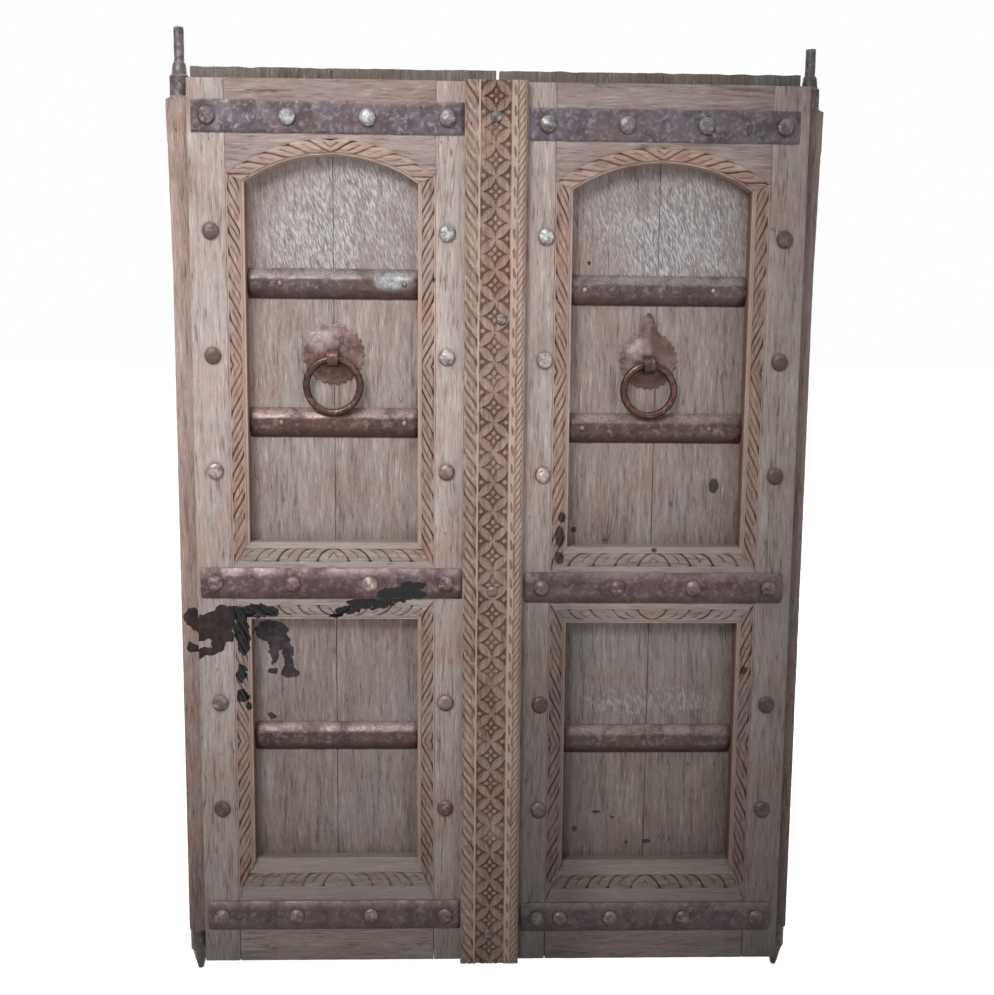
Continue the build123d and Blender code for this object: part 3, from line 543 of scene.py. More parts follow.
finishes = {
    "planks": old_wood(
        "panel_boards", shade(178, 163, 156), shade(152, 135, 128), shade(116, 99, 93),
        grey=0.5, torn=True, tar=True,
    ),
    "stiles": old_wood(
        "frame_stiles", shade(200, 187, 181), shade(176, 161, 155), shade(140, 122, 116),
        grey=0.4, tar=True,
    ),
    "rails": old_wood(
        "frame_rails", shade(200, 184, 178), shade(176, 157, 151), shade(140, 121, 115), "X", grey=0.4,
    ),
    "mouldings": old_wood(
        "carved_mouldings", shade(186, 162, 150), shade(162, 138, 127), shade(132, 108, 98),
        grey=0.2, carved=LEAF_HOLLOW_SHADE, reveal=True, tar=True,
    ),
    "mouldings_across": old_wood(
        "carved_cross_mouldings", shade(184, 167, 158), shade(161, 144, 136), shade(130, 112, 104), "X",
        grey=0.25, carved=LEAF_HOLLOW_SHADE, plain=("MIX", 0.35, shade(190, 184, 174)), tar=True,
    ),
    "arches": old_wood(
        "arched_rails", shade(196, 172, 159), shade(173, 147, 134), shade(140, 116, 104), "X",
        grey=0.25, carved=LEAF_HOLLOW_SHADE, plain=("MULTIPLY", 1.0, shade(232, 243, 255)),
    ),
    "carved_strip": old_wood(
        "carved_strip_wood", shade(174, 150, 137), shade(150, 127, 115), shade(119, 96, 85),
        falloff=0.75, grey=0.15, carved=shade(176, 158, 148), plain=("MIX", 0.5, shade(206, 182, 168)),
    ),
    "posts": old_wood(
        "pivot_posts", shade(194, 172, 162), shade(170, 148, 139), shade(132, 110, 102),
        grey=0.2, tar=True,
    ),
    "battens": old_wood(
        "back_battens", shade(160, 146, 138), shade(134, 118, 110), shade(96, 80, 74), "X",
        falloff=0.4, grey=0.2,
    ),
    "straps": old_iron(
        "strap_iron", shade(74, 64, 69), shade(96, 87, 92), shade(134, 131, 140), rust=0.3, tar=True,
    ),
    "panel_straps": old_iron(
        "panel_strap_iron", shade(62, 52, 52), shade(84, 74, 73), shade(128, 122, 122),
        rust=0.35, rough=(0.34, 0.55), dust_and_highlight=0.85, rubbed_and_highlit=STRAP_HIGHLIGHT, silver_and_highlight=shade(176, 188, 194),
    ),
    "nails": old_iron(
        "nail_iron", shade(84, 75, 74), shade(120, 112, 112), shade(176, 175, 177),
        rust=0.25, rubbed_and_highlit=BRIGHT_HEADS, dull=DARK_HEADS,
    ),
    "tacks": old_iron(
        "tack_iron", shade(104, 98, 98), shade(140, 134, 134), shade(196, 196, 198), rust=0.15,
    ),
    "pivots": old_iron(
        "pivot_iron", shade(86, 76, 76), shade(112, 102, 104), shade(146, 138, 140), rust=0.5,
    ),
    "pull_plates": old_iron(
        "pull_plate_iron", shade(96, 80, 78), shade(128, 114, 114), shade(156, 146, 150),
        rust=0.5, rough=(0.5, 0.7), rubbed_and_highlit=PLATE_HIGHLIGHT, silver_and_highlight=shade(168, 160, 166), dull=PLATE_SHADE,
    ),
    "pull_eyes": old_iron(
        "eye_iron", shade(52, 42, 38), shade(74, 62, 56), shade(124, 114, 106),
        rust=0.5, rough=(0.3, 0.5), dust_and_highlight=0.2,
    ),
    "pull_rings": old_iron(
        "ring_iron", shade(56, 43, 38), shade(80, 63, 56), shade(128, 112, 102),
        rust=0.3, rough=(0.24, 0.42), metal=0.7, dust_and_highlight=0.3,
    ),
}


# Making pieces

bodies = frame["record"]["behaviour"]["bodies"]
body_of = {node: body for body, nodes in bodies.items() for node in nodes}
slot_of = {part["node"]: part["material_slot"] for part in frame["record"]["subparts"]}


def to_piece(work, name, finish, sharp=38):
    """Mesh object from the modelling work, smooth but for its sharp edges."""
    bmesh.ops.recalc_face_normals(work, faces=work.faces[:])
    mesh = bpy.data.meshes.new(name)
    work.to_mesh(mesh)
    work.free()
    mesh.polygons.foreach_set("use_smooth", [True] * len(mesh.polygons))
    mesh.set_sharp_from_angle(angle=math.radians(sharp))
    mesh.materials.append(finishes[finish])
    piece = bpy.data.objects.new(name, mesh)
    bpy.context.scene.collection.objects.link(piece)
    return piece


def stand_for(piece, node):
    """The piece moves with the node's body, and the node is hidden."""
    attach(piece, body_of[node])
    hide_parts(node)


def lay_grid(work, columns, rows):
    """Flat sheet of faces over the unit square, facing the front: X and Z run from 0 to 1."""
    bmesh.ops.create_grid(work, x_segments=columns, y_segments=rows, size=0.5)
    bmesh.ops.translate(work, verts=work.verts, vec=(0.5, 0.5, 0))
    bmesh.ops.rotate(work, verts=work.verts, cent=(0, 0, 0), matrix=TO_FRONT)


def close_behind(work, back_y):
    """Walls from the sheet's rim back to a flat back."""
    rim = [edge for edge in work.edges if edge.is_boundary]
    made = bmesh.ops.extrude_edge_only(work, edges=rim)["geom"]
    for part in made:
        if isinstance(part, bmesh.types.BMVert):
            part.co.y = back_y
    back = [part for part in made if isinstance(part, bmesh.types.BMEdge)]
    bmesh.ops.contextual_create(work, geom=[edge for edge in back if edge.is_boundary])


def carve_sheet(work, place, depth):
    """Puts each vertex of a unit sheet at its place, sunk by depth, and stores the carving's share."""
    mark = work.verts.layers.float.new("relief")
    for vert in work.verts:
        spot = place(vert.co.x, vert.co.z)
        sunk, carved = depth(vert.co.x, vert.co.z, spot)
        vert.co = (spot.x, spot.y + sunk, spot.z)
        vert[mark] = clamp(carved)


# Leaf carving of the mouldings and arches

def leaf_cut(along, across, pitch, lean, width, wobble=0.0, hooked=False):
    """Depth of the leaf carving. along is the way from the node, across from 0 at the panel side to 1.

    The strokes are long S curves, or hooked over at the panel side only.
    """
    share = clamp(across, 0.01, 0.99)
    if hooked:
        swing = 0.25 * share + 0.75 * math.sqrt(1 - (1 - share) ** 2)
        steep = 0.25 + 0.75 * (1 - share) / math.sqrt(1 - (1 - share) ** 2)
    else:
        bow = math.asin(1 - 2 * share)
        swing = 0.15 * share + 0.85 * (0.5 - math.sin(bow / 3))
        steep = 0.15 + 0.85 * math.cos(bow / 3) * 2 / 3 / math.sqrt(1 - (1 - 2 * share) ** 2)
    slope = lean / width * steep
    fore = 1 / math.sqrt(1 + slope * slope)
    turn = (along - lean * swing) / pitch + wobble
    leaf = turn - math.floor(turn)
    long_cut = hump(min(leaf, 1 - leaf) * pitch * fore, LEAF_CUT)
    inner = abs(leaf - 0.50 - 0.05 * math.sin(3 * share)) * pitch * fore
    short_cut = hump(inner, LEAF_CUT * 0.85) * ease(0.04, 0.20, share) * ease(0.90, 0.70, share)
    lobe = abs(math.sin(2 * math.pi * leaf)) if share < 0.75 else math.sin(math.pi * leaf)
    tip = ease(0.80, 1.0, across) * abs(2 * leaf - 1) ** 2
    body = 0.34 - 0.30 * lobe + 0.10 * (1 - leaf)
    return LEAF_DEPTH * clamp(body + long_cut * 0.6 + short_cut * 0.48 + tip * 0.45)


def side_edge(off):
    """Section of the side mouldings: a low plain edge with a bead against the carving."""
    low = FILLET_DROP * ease(SIDE_FILLET * 0.75, SIDE_FILLET * 0.45, off)
    return low - 1.0 * MM * hump(off - SIDE_FILLET * 0.9, 1.2 * MM) + 1.0 * MM


def sill_edge(off):
    """Section of the upper panel's bottom moulding: a bevel down to the panel."""
    return 7 * MM * clamp(1 - off / (9 * MM)) - 0.7 * MM * hump(off - 10 * MM, 1.2 * MM) + 0.7 * MM


def deep_sill_edge(off):
    """Section of the lower panel's bottom moulding: a wide bevel."""
    return 15 * MM * clamp(1 - off / (22 * MM)) - 0.7 * MM * hump(off - 23 * MM, 1.2 * MM) + 0.7 * MM


def head_edge(off):
    """Section of the lower panel's top moulding."""
    step = FILLET_DROP * ease(5 * MM, 3.5 * MM, off)
    return step - 0.7 * MM * hump(off - 6 * MM, 1.0 * MM) + 0.7 * MM


def moulding(node, near, far, upright, edge_form, edge_width, carved_width, pitch, lean):
    """Mitred carved moulding from its opening edge, near, to its outer edge, far.

    Each edge is its two ends in x and z.
    """
    near_a, near_b, far_a, far_b = [Vector((x, front_y, z)) for x, z in near + far]
    middle = (near_a + near_b) / 2
    out = far_a - near_a
    total = abs(out.x if upright else out.z)
    work = bmesh.new()
    lay_grid(work, round(total / CARVE_ACROSS), round((near_b - near_a).length / CARVE_ALONG))
    seed = near_a.x * 31 + near_a.z * 17

    def place(across, along):
        return near_a.lerp(near_b, along).lerp(far_a.lerp(far_b, along), across)

    def depth(across, along, spot):
        off = across * total
        run = abs(spot.z - middle.z if upright else spot.x - middle.x)
        sink = edge_form(off) + 0.2 * MM * (1 + wander(spot.x, spot.z, 9 * MM, 2.0))
        inside = (off - edge_width) / carved_width
        if 0 < inside < 1:
            wear = 0.85 + 0.3 * wander(spot.x, spot.z, 60 * MM, seed)
            wobble = 0.13 * wander(spot.x, spot.z, 70 * MM, seed + 5)
            cut = wear * leaf_cut(run, inside, pitch, lean, carved_width, wobble, hooked=not upright)
            return sink + cut, BAND_RELIEF + (1 - BAND_RELIEF) * cut / LEAF_DEPTH
        return sink, 0.0

    carve_sheet(work, place, depth)
    close_behind(work, panel_y)
    finish = "mouldings" if upright else "mouldings_across"
    stand_for(to_piece(work, node + "_carving", finish), node)


class Leaf:
    """Edges of one leaf's openings, read from the frame. s is -1 on the left and 1 on the right."""

    def __init__(self, side, s):
        def inner_and_outer(node):
            low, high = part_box(side + node)
            return (low.x, high.x) if s > 0 else (high.x, low.x)

        self.side, self.s = side, s
        self.open_out, self.rail_out = inner_and_outer("_upper_outer_moulding")
        self.rail_in, self.open_in = inner_and_outer("_upper_inner_moulding")
        self.bottom_rail_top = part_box(side + "_bottom_rail")[1].z
        self.mid_rail_low, self.mid_rail_top = (corner.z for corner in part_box(side + "_mid_rail"))
        self.low_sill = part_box(side + "_lower_bottom_moulding")[1].z
        self.low_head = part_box(side + "_lower_top_moulding")[0].z
        self.high_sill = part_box(side + "_upper_bottom_moulding")[1].z
        self.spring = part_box(side + "_top_rail")[0].z
        self.spring_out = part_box(side + "_upper_outer_moulding")[1].z
        self.middle = (self.open_in + self.open_out) / 2
        half = abs(self.open_out - self.open_in) / 2
        self.arch_radius = (half * half + ARCH_RISE * ARCH_RISE) / (2 * ARCH_RISE)
        self.arch_centre = self.spring + ARCH_RISE - self.arch_radius


def leaf_mouldings(leaf):
    """The seven carved mouldings round the two openings."""
    pitch = LEAF_PITCH if leaf.s < 0 else LEAF_PITCH * RIGHT_STRETCH
    for word, edge, rail in (
        ("outer", leaf.open_out, leaf.rail_out),
        ("inner", leaf.open_in, leaf.rail_in),
    ):
        for level, near, far in (
            ("upper", (leaf.high_sill, leaf.spring), (leaf.mid_rail_top, leaf.spring_out)),
            ("lower", (leaf.low_sill, leaf.low_head), (leaf.bottom_rail_top, leaf.mid_rail_low)),
        ):
            moulding(
                f"{leaf.side}_{level}_{word}_moulding",
                [(edge, z) for z in near],
                [(rail, z) for z in far],
                True, side_edge, SIDE_FILLET, SIDE_CARVED, pitch, LEAF_LEAN * pitch / LEAF_PITCH,
            )
    for word, sill, rail, form, edge_width, carved_width in (
        ("upper_bottom", leaf.high_sill, leaf.mid_rail_top, sill_edge, 11 * MM, 24 * MM),
        ("lower_top", leaf.low_head, leaf.mid_rail_low, head_edge, 7 * MM, 19 * MM),
        ("lower_bottom", leaf.low_sill, leaf.bottom_rail_top, deep_sill_edge, 24 * MM, 28 * MM),
    ):
        moulding(
            f"{leaf.side}_{word}_moulding",
            [(leaf.open_in, sill), (leaf.open_out, sill)],
            [(leaf.rail_in, rail), (leaf.rail_out, rail)],
            False, form, edge_width, carved_width, pitch, HOOK_LEAN,
        )


def arched_rail(leaf):
    """Top rail with its carved band along the arch."""
    work = bmesh.new()
    lay_grid(work, ARCH_COLUMNS, ARCH_ROWS)
    node = leaf.side + "_top_rail"
    low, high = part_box(node)

    def place(across, up):
        x = low.x + (high.x - low.x) * across
        beyond = max(abs(x - leaf.middle) - abs(leaf.open_out - leaf.middle), 0.0)
        if beyond > 0:
            share = beyond / abs(leaf.rail_out - leaf.open_out)
            base = leaf.spring + (leaf.spring_out - leaf.spring) * share
        else:
            base = leaf.arch_centre + math.sqrt(leaf.arch_radius ** 2 - (x - leaf.middle) ** 2)
        return Vector((x, front_y, base + (high.z - base) * (0.55 * up + 0.45 * up * up)))

    def depth(across, up, spot):
        off_x, off_z = spot.x - leaf.middle, spot.z - leaf.arch_centre
        off = math.hypot(off_x, off_z) - leaf.arch_radius
        run = abs(math.atan2(off_x, off_z)) * (leaf.arch_radius + ARCH_BAND / 2)
        uneven = 0.25 * MM * (1 + wander(spot.x, spot.z, 14 * MM, 2.0))
        sink = FILLET_DROP * ease(4 * MM, 2.6 * MM, off) + uneven
        sink += 1.3 * MM * hump(off - ARCH_BAND - 0.5 * MM, 1.3 * MM)
        inside = (off - ARCH_BEAD) / ARCH_CARVED
        if 0 < inside < 1:
            wear = 0.85 + 0.3 * wander(spot.x, spot.z, 60 * MM, 3.0)
            wobble = 0.12 * wander(spot.x, spot.z, 70 * MM, 8.0)
            cut = wear * leaf_cut(run, inside, LEAF_PITCH, LEAF_LEAN * 0.8, ARCH_CARVED, wobble)
            return sink + cut, BAND_RELIEF + (1 - BAND_RELIEF) * cut / LEAF_DEPTH
        if leaf.s < 0:
            open_here = ease(SLIT_HALF, 0.6 * SLIT_HALF, abs(spot.x - SLIT_X))
            sink += SLIT_DEPTH * hump(spot.z - foot_z - SLIT_HEIGHT, 1.6 * MM) * open_here
        return sink, BAND_RELIEF if off < ARCH_BAND else 0.0

    carve_sheet(work, place, depth)
    close_behind(work, panel_y)
    stand_for(to_piece(work, node + "_carving", "arches"), node)


# Carved strip over the meeting line

def petal_depth(x, z):
    """Depth in the sunk field: 0 on the rims of the pointed leaves, FIELD_DEPTH on the ground."""
    row = z / PETAL_PITCH
    cell = row - math.floor(row)
    off_z = min(cell, 1 - cell) * PETAL_PITCH
    sunk = FIELD_DEPTH
    run = math.hypot(FIELD_HALF, PETAL_PITCH / 2)
    ux, uz = FIELD_HALF / run, PETAL_PITCH / 2 / run
    along = (abs(x) * ux + off_z * uz) / run
    side = abs(abs(x) * uz - off_z * ux)
    half = PETAL_HALF * math.sin(math.pi * clamp(along)) ** 0.62
    if half > 0:
        share = side / half
        rim = hump(share - 0.80, 0.14)
        keel = hump(side, 0.9 * MM) * ease(0.1, 0.3, along) * ease(0.9, 0.7, along)
        bed = 0.55 - 0.28 * keel
        form = bed * (1 - rim) + 0.02 * rim
        sunk = min(sunk, FIELD_DEPTH * (form + (1 - form) * ease(0.94, 1.12, share)))
    middle_z = abs(cell - 0.5) * PETAL_PITCH
    dots = (
        (math.hypot(abs(x) - 7.6 * MM, middle_z * 1.3), 5.2 * MM),
        (math.hypot(x * 1.3, middle_z - 7.6 * MM), 5.2 * MM),
        (math.hypot(abs(x) - 21.5 * MM, off_z), 4.7 * MM),
    )
    for away, radius in dots:
        if away < radius * 1.15:
            share = away / radius
            sunk = min(sunk, FIELD_DEPTH * (0.22 + 0.78 * ease(0.45, 1.12, share)))
    return sunk


def border_depth(across, z):
    """Left border: long leaves lying towards the field. across is 0 at the arris, 1 at the field."""
    return 1.2 * leaf_cut(z, across, BORDER_PITCH, BORDER_LEAN, BORDER_WIDTH)


def rope_depth(across, z):
    """Right border: a twisted rope."""
    turn = (z + across * 22 * MM) / ROPE_PITCH
    strand = abs(turn - math.floor(turn) - 0.5) * 2
    return 2.4 * MM * strand ** 3 + 1.5 * MM * (abs(2 * across - 1)) ** 3


def notch_depth(across, z):
    """Deep leaf-shaped notches in a narrow strip."""
    turn = z / NOTCH_PITCH
    off = (turn - math.floor(turn) - 0.5) * NOTCH_PITCH
    half = 3.0 * MM * max(0.0, 1 - (off / (10 * MM)) ** 2)
    away = abs((across - 0.5) * NOTCH_WIDTH - off * 0.12)
    return 2.8 * MM * ease(half, 0.0, away) if half > 0.2 * MM else 0.0


def carved_strip():
    """Cover strip: leaf border, sunk field of pointed leaves and flowers, notches and rope."""
    work = bmesh.new()
    width, tall = strip_high.x - strip_low.x, strip_high.z - strip_low.z
    lay_grid(work, STRIP_COLUMNS, STRIP_ROWS)
    middle = (strip_low.x + strip_high.x) / 2

    def place(across, up):
        return Vector((strip_low.x + width * across, strip_low.y, strip_low.z + tall * up))

    def sunk_at(spot):
        z = top_z - spot.z
        slip = 1.1 * MM * wander(0.0, spot.z, 45 * MM, 4.0)
        x = spot.x - middle + 0.8 * MM * wander(0.0, spot.z, 80 * MM, 9.0)
        if abs(x) < FIELD_HALF:
            return petal_depth(x, z + slip) * ease(FIELD_HALF, FIELD_HALF - 1.4 * MM, abs(x))
        if x < 0:
            border = (x + width / 2 - BORDER_START) / (width / 2 - FIELD_HALF - BORDER_MARGINS)
            if 0 < border < 1:
                return border_depth(border, z + slip)
            return 2.0 * MM * ease(-width / 2 + BORDER_START, -width / 2, x) ** 2
        off = x - FIELD_HALF - NOTCH_START
        if 0 < off < NOTCH_WIDTH:
            return notch_depth(off / NOTCH_WIDTH, z + slip)
        rope = (off - ROPE_START) / ROPE_WIDTH
        if 0 < rope < 1:
            return rope_depth(rope, z + slip)
        scallop = 0.5 + 0.5 * math.cos(2 * math.pi * z / ROPE_PITCH)
        return (2.4 + 1.2 * scallop) * MM * ease(width / 2 - ROPE_ARRIS, width / 2, x)

    def depth(across, up, spot):
        wear = 0.86 + 0.28 * wander(spot.x, spot.z, 70 * MM, 6.0)
        rough = 0.22 * MM * (1 + wander(spot.x, spot.z, 5 * MM, 1.0))
        sunk = rough + wear * sunk_at(spot)
        return sunk, sunk / FIELD_DEPTH

    carve_sheet(work, place, depth)
    close_behind(work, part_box("left_inner_stile")[0].y)
    stand_for(to_piece(work, "meeting_strip_carving", "carved_strip"), "meeting_strip")


# Plain boards

def worn_board(node, finish, cell=9 * MM, arris=1.8 * MM, dents=0.5 * MM, saw=0.0):
    """Board in its node's box, with rubbed arrises and uneven faces.

    saw is how far the top end is cut out of true.
    """
    low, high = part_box(node)
    size = high - low
    work = bmesh.new()
    bmesh.ops.create_cube(work, size=1.0)
    bmesh.ops.scale(work, vec=size, verts=work.verts)
    bmesh.ops.translate(work, vec=(low + high) / 2, verts=work.verts)
    bmesh.ops.bevel(
        work, geom=work.edges[:], offset=arris, offset_type="OFFSET",
        segments=2, profile=0.5, affect="EDGES", material=-1,
    )
    for axis in range(3):
        cuts = round(size[axis] / cell)
        long_edges = [
            edge for edge in work.edges
            if abs((edge.verts[0].co - edge.verts[1].co)[axis]) > size[axis] / 2
        ]
        if cuts > 0 and long_edges:
            bmesh.ops.subdivide_edges(work, edges=long_edges, cuts=cuts, use_grid_fill=True)
    work.normal_update()
    moves = []
    for vert in work.verts:
        spot = vert.co
        push = dents * rise(spot * 22)
        push += 0.35 * dents * rise(spot * 95)
        at_edge = sum(min(spot[a] - low[a], high[a] - spot[a]) < arris * 0.9 for a in range(3))
        if at_edge >= 2:
            push += arris * 0.8 * max(0.0, noise.noise(spot * 60) + 0.1)
        moves.append((vert, -vert.normal * push))
    for vert, move in moves:
        spot = vert.co.copy()
        vert.co += move
        if saw > 0 and spot.z > high.z - 3 * cell:
            share = ease(high.z - 3 * cell, high.z, spot.z)
            vert.co.z -= share * saw * rise(Vector((spot.x * 40, 0, 3.0)))
    stand_for(to_piece(work, node + "_wood", finish), node)


# Ironwork

def strap_iron(node, bulge, finish, seed):
    """Forged strap bent to a low arch in section, with beaten faces and ragged long edges."""
    low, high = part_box(node)
    width, tall = high.x - low.x, high.z - low.z
    work = bmesh.new()
    lay_grid(work, round(width / (4 * MM)), 18)
    for vert in work.verts:
        across, up = vert.co.x, vert.co.z
        x = low.x + width * across
        rag = 1.6 * MM * rise(Vector((x * 38, seed, round(up) * 9.0)))
        inset = rag * abs(2 * up - 1) ** 6
        z = low.z + inset + (tall - 2 * inset) * up
        crown = 1 - (2 * up - 1) ** 2
        beaten = 0.9 * MM * noise.noise(Vector((x * 26, seed, z * 26)))
        beaten += 0.5 * MM * noise.noise(Vector((x * 75, seed, z * 75)))
        end = ease(6 * MM, 0.0, min(x - low.x, high.x - x)) * 1.5 * MM * (bulge > 5 * MM)
        y = high.y - SHEET * 0.6 - bulge * crown + max(0.0, beaten + 0.7 * MM) * crown + end
        vert.co = (x, max(y, low.y), z)
    close_sheet(work, SHEET * 0.6)
    stand_for(to_piece(work, node + "_iron", finish), node)


def close_sheet(work, thick):
    """Gives a sheet its thickness towards the back."""
    made = bmesh.ops.extrude_face_region(work, geom=work.faces[:])["geom"]
    for part in made:
        if isinstance(part, bmesh.types.BMVert):
            part.co.y += thick


def flat_strap(node, finish, seed):
    """Flat forged strap, with beaten face and ragged edges."""
    low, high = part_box(node)
    width, tall = high.x - low.x, high.z - low.z
    work = bmesh.new()
    lay_grid(work, round(width / (4 * MM)), 16)
    for vert in work.verts:
        across, up = vert.co.x, vert.co.z
        x = low.x + width * across
        rag = 2.2 * MM * rise(Vector((x * 42, seed, round(up) * 9.0)))
        inset = rag * abs(2 * up - 1) ** 6
        z = low.z + inset + (tall - 2 * inset) * up
        beaten = rise(Vector((x * 30, seed, z * 30)))
        rounded = abs(2 * up - 1) ** 12 + abs(2 * across - 1) ** 120
        vert.co = (x, low.y + 0.9 * MM * beaten + 1.2 * MM * min(1.0, rounded), z)
    close_behind(work, high.y)
    stand_for(to_piece(work, node + "_iron", finish), node)


def islands(node):
    """Lowest and highest corner of each separate solid in a node, ordered by place."""
    work = bmesh.new()
    work.from_mesh(frame["nodes"][node].data)
    bmesh.ops.remove_doubles(work, verts=work.verts, dist=0.02 * MM)
    left, found = set(work.verts), []
    while left:
        reach, group = [left.pop()], []
        while reach:
            vert = reach.pop()
            group.append(vert.co.copy())
            for edge in vert.link_edges:
                other = edge.other_vert(vert)
                if other in left:
                    left.discard(other)
                    reach.append(other)
        low = Vector(min(co[a] for co in group) for a in range(3))
        high = Vector(max(co[a] for co in group) for a in range(3))
        found.append((low, high))
    work.free()
    return sorted(found, key=lambda corners: (round(corners[0].z, 4), round(corners[0].x, 4)))


def hammered_heads(node, finish, columns, rows, facet, grow=1.0):
    """All the domed heads of a node, each beaten a little differently."""
    work = bmesh.new()
    for number, (low, high) in enumerate(islands(node)):
        made = bmesh.ops.create_uvsphere(work, u_segments=columns, v_segments=rows, radius=1.0)["verts"]
        bmesh.ops.rotate(work, verts=made, cent=(0, 0, 0), matrix=TO_FRONT)
        middle, half = (low + high) / 2, (high - low) / 2
        rim = high.y - half.y * 2 * 0.30
        for vert in made:
            co = vert.co.copy()
            beat = 1 + facet * noise.noise(co * 2.1 + Vector((number * 3.7, 0, low.x * 90)))
            flat = abs(co.y) ** 1.25 * math.copysign(1, co.y)
            y = rim + flat * (rim - low.y) * min(beat, 1.0) if co.y < 0 else rim + co.y * (high.y - rim)
            spread = 1 - 0.06 * (1 - min(beat, 1.0)) if co.y < 0 else 1 - 0.12 * co.y
            spread *= grow
            x, z = middle.x + co.x * half.x * spread, middle.z + co.z * half.z * spread
            vert.co = (x, max(y, low.y), z)
    stand_for(to_piece(work, node + "_iron", finish, sharp=24), node)


def iron_ring(node, finish):
    """Pull ring, made thinner and unevenly beaten."""
    low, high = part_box(node)
    middle = (low + high) / 2
    tube = (high.y - low.y) / 2
    radius = (high.x - low.x) / 2 - tube
    work = bmesh.new()
    bmesh.ops.create_circle(work, segments=20, radius=tube)
    bmesh.ops.rotate(work, verts=work.verts, cent=(0, 0, 0), matrix=ON_SIDE)
    bmesh.ops.translate(work, verts=work.verts, vec=(0, 0, radius))
    bmesh.ops.spin(
        work, geom=work.verts[:] + work.edges[:], cent=(0, 0, 0), axis=(0, 1, 0),
        angle=2 * math.pi, steps=96, use_merge=True,
    )
    for vert in work.verts:
        core = Vector((vert.co.x, 0, vert.co.z)).normalized() * radius
        beat = 0.80 + 0.07 * noise.noise(vert.co * 55) + 0.03 * noise.noise(vert.co * 160)
        vert.co = middle + core + (vert.co - core) * min(beat, 1.0)
    stand_for(to_piece(work, node + "_iron", finish), node)


def pull_plate(node, finish, teeth, seed):
    """Domed sheet-iron plate with a toothed edge; the right one runs up to a point."""
    low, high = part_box(node)
    radius = (high.x - low.x) / 2
    middle = Vector(((low.x + high.x) / 2, high.y, low.z + radius))
    point = (high.z - middle.z) - radius
    rings, around = 16, teeth * 8
    work = bmesh.new()
    bmesh.ops.create_circle(work, cap_ends=True, cap_tris=True, segments=around, radius=1.0 / rings)
    for ring in range(2, rings + 1):
        rim = [edge for edge in work.edges if edge.is_boundary]
        made = bmesh.ops.extrude_edge_only(work, edges=rim)["geom"]
        verts = [part for part in made if isinstance(part, bmesh.types.BMVert)]
        bmesh.ops.scale(work, vec=(ring / (ring - 1),) * 3, verts=verts)
    for vert in work.verts:
        away = math.hypot(vert.co.x, vert.co.y)
        angle = math.atan2(vert.co.x, vert.co.y)
        tooth = abs((angle / (2 * math.pi) * teeth) % 1 - 0.5) * 2
        bite = 0.085 + 0.03 * noise.noise(Vector((angle * 3, seed, 0)))
        reach = radius * (1 - bite * tooth * ease(0.8, 1.0, away))
        turn = abs(math.degrees(angle))
        if point > 1 * MM and turn < POINT_SPREAD:
            reach += point * (1 - turn / POINT_SPREAD) ** 1.2 * ease(0.5, 1.0, away)
        x, z = math.sin(angle) * away * reach, math.cos(angle) * away * reach
        swell = PLATE_DOME * max(0.0, 1 - (away * reach / radius / 0.86) ** 2) ** 1.15
        dent = 0.9 * MM * noise.noise(Vector((x * 45, seed, z * 45)))
        lift = 1.2 * MM + swell + dent * ease(0.0, 0.3, 1 - away)
        lift += 1.0 * MM * hump(away - 0.93, 0.05)
        vert.co = (middle.x + x, max(middle.y - lift - 1.0 * MM, low.y), middle.z + z)
    close_sheet(work, 1.0 * MM)
    stand_for(to_piece(work, node + "_iron", finish), node)


def beaten_copy(node, finish, voxel, dents):
    """Copy of a node's own shape with softened edges and a beaten surface."""
    work = bmesh.new()
    work.from_mesh(frame["nodes"][node].data)
    bmesh.ops.remove_doubles(work, verts=work.verts, dist=0.02 * MM)
    rough = bpy.data.meshes.new(node + "_rough")
    work.to_mesh(rough)
    work.free()
    blank = bpy.data.objects.new(node + "_blank", rough)
    bpy.context.scene.collection.objects.link(blank)
    remesh = blank.modifiers.new("even", "REMESH")
    remesh.mode = "VOXEL"
    remesh.voxel_size = voxel
    graph = bpy.context.evaluated_depsgraph_get()
    even = bpy.data.meshes.new_from_object(blank.evaluated_get(graph))
    bpy.data.objects.remove(blank)
    work = bmesh.new()
    work.from_mesh(even)
    low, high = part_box(node)
    bmesh.ops.smooth_vert(
        work, verts=work.verts, factor=0.5, use_axis_x=True, use_axis_y=True, use_axis_z=True,
    )
    work.normal_update()
    for vert in work.verts:
        push = dents * rise(vert.co * 40) + dents * 0.5 * noise.noise(vert.co * 120)
        spot = vert.co - vert.normal * max(push, 0.0)
        vert.co = [clamp(spot[a], low[a], high[a]) for a in range(3)]
    stand_for(to_piece(work, node + "_worn", finish), node)


# The door

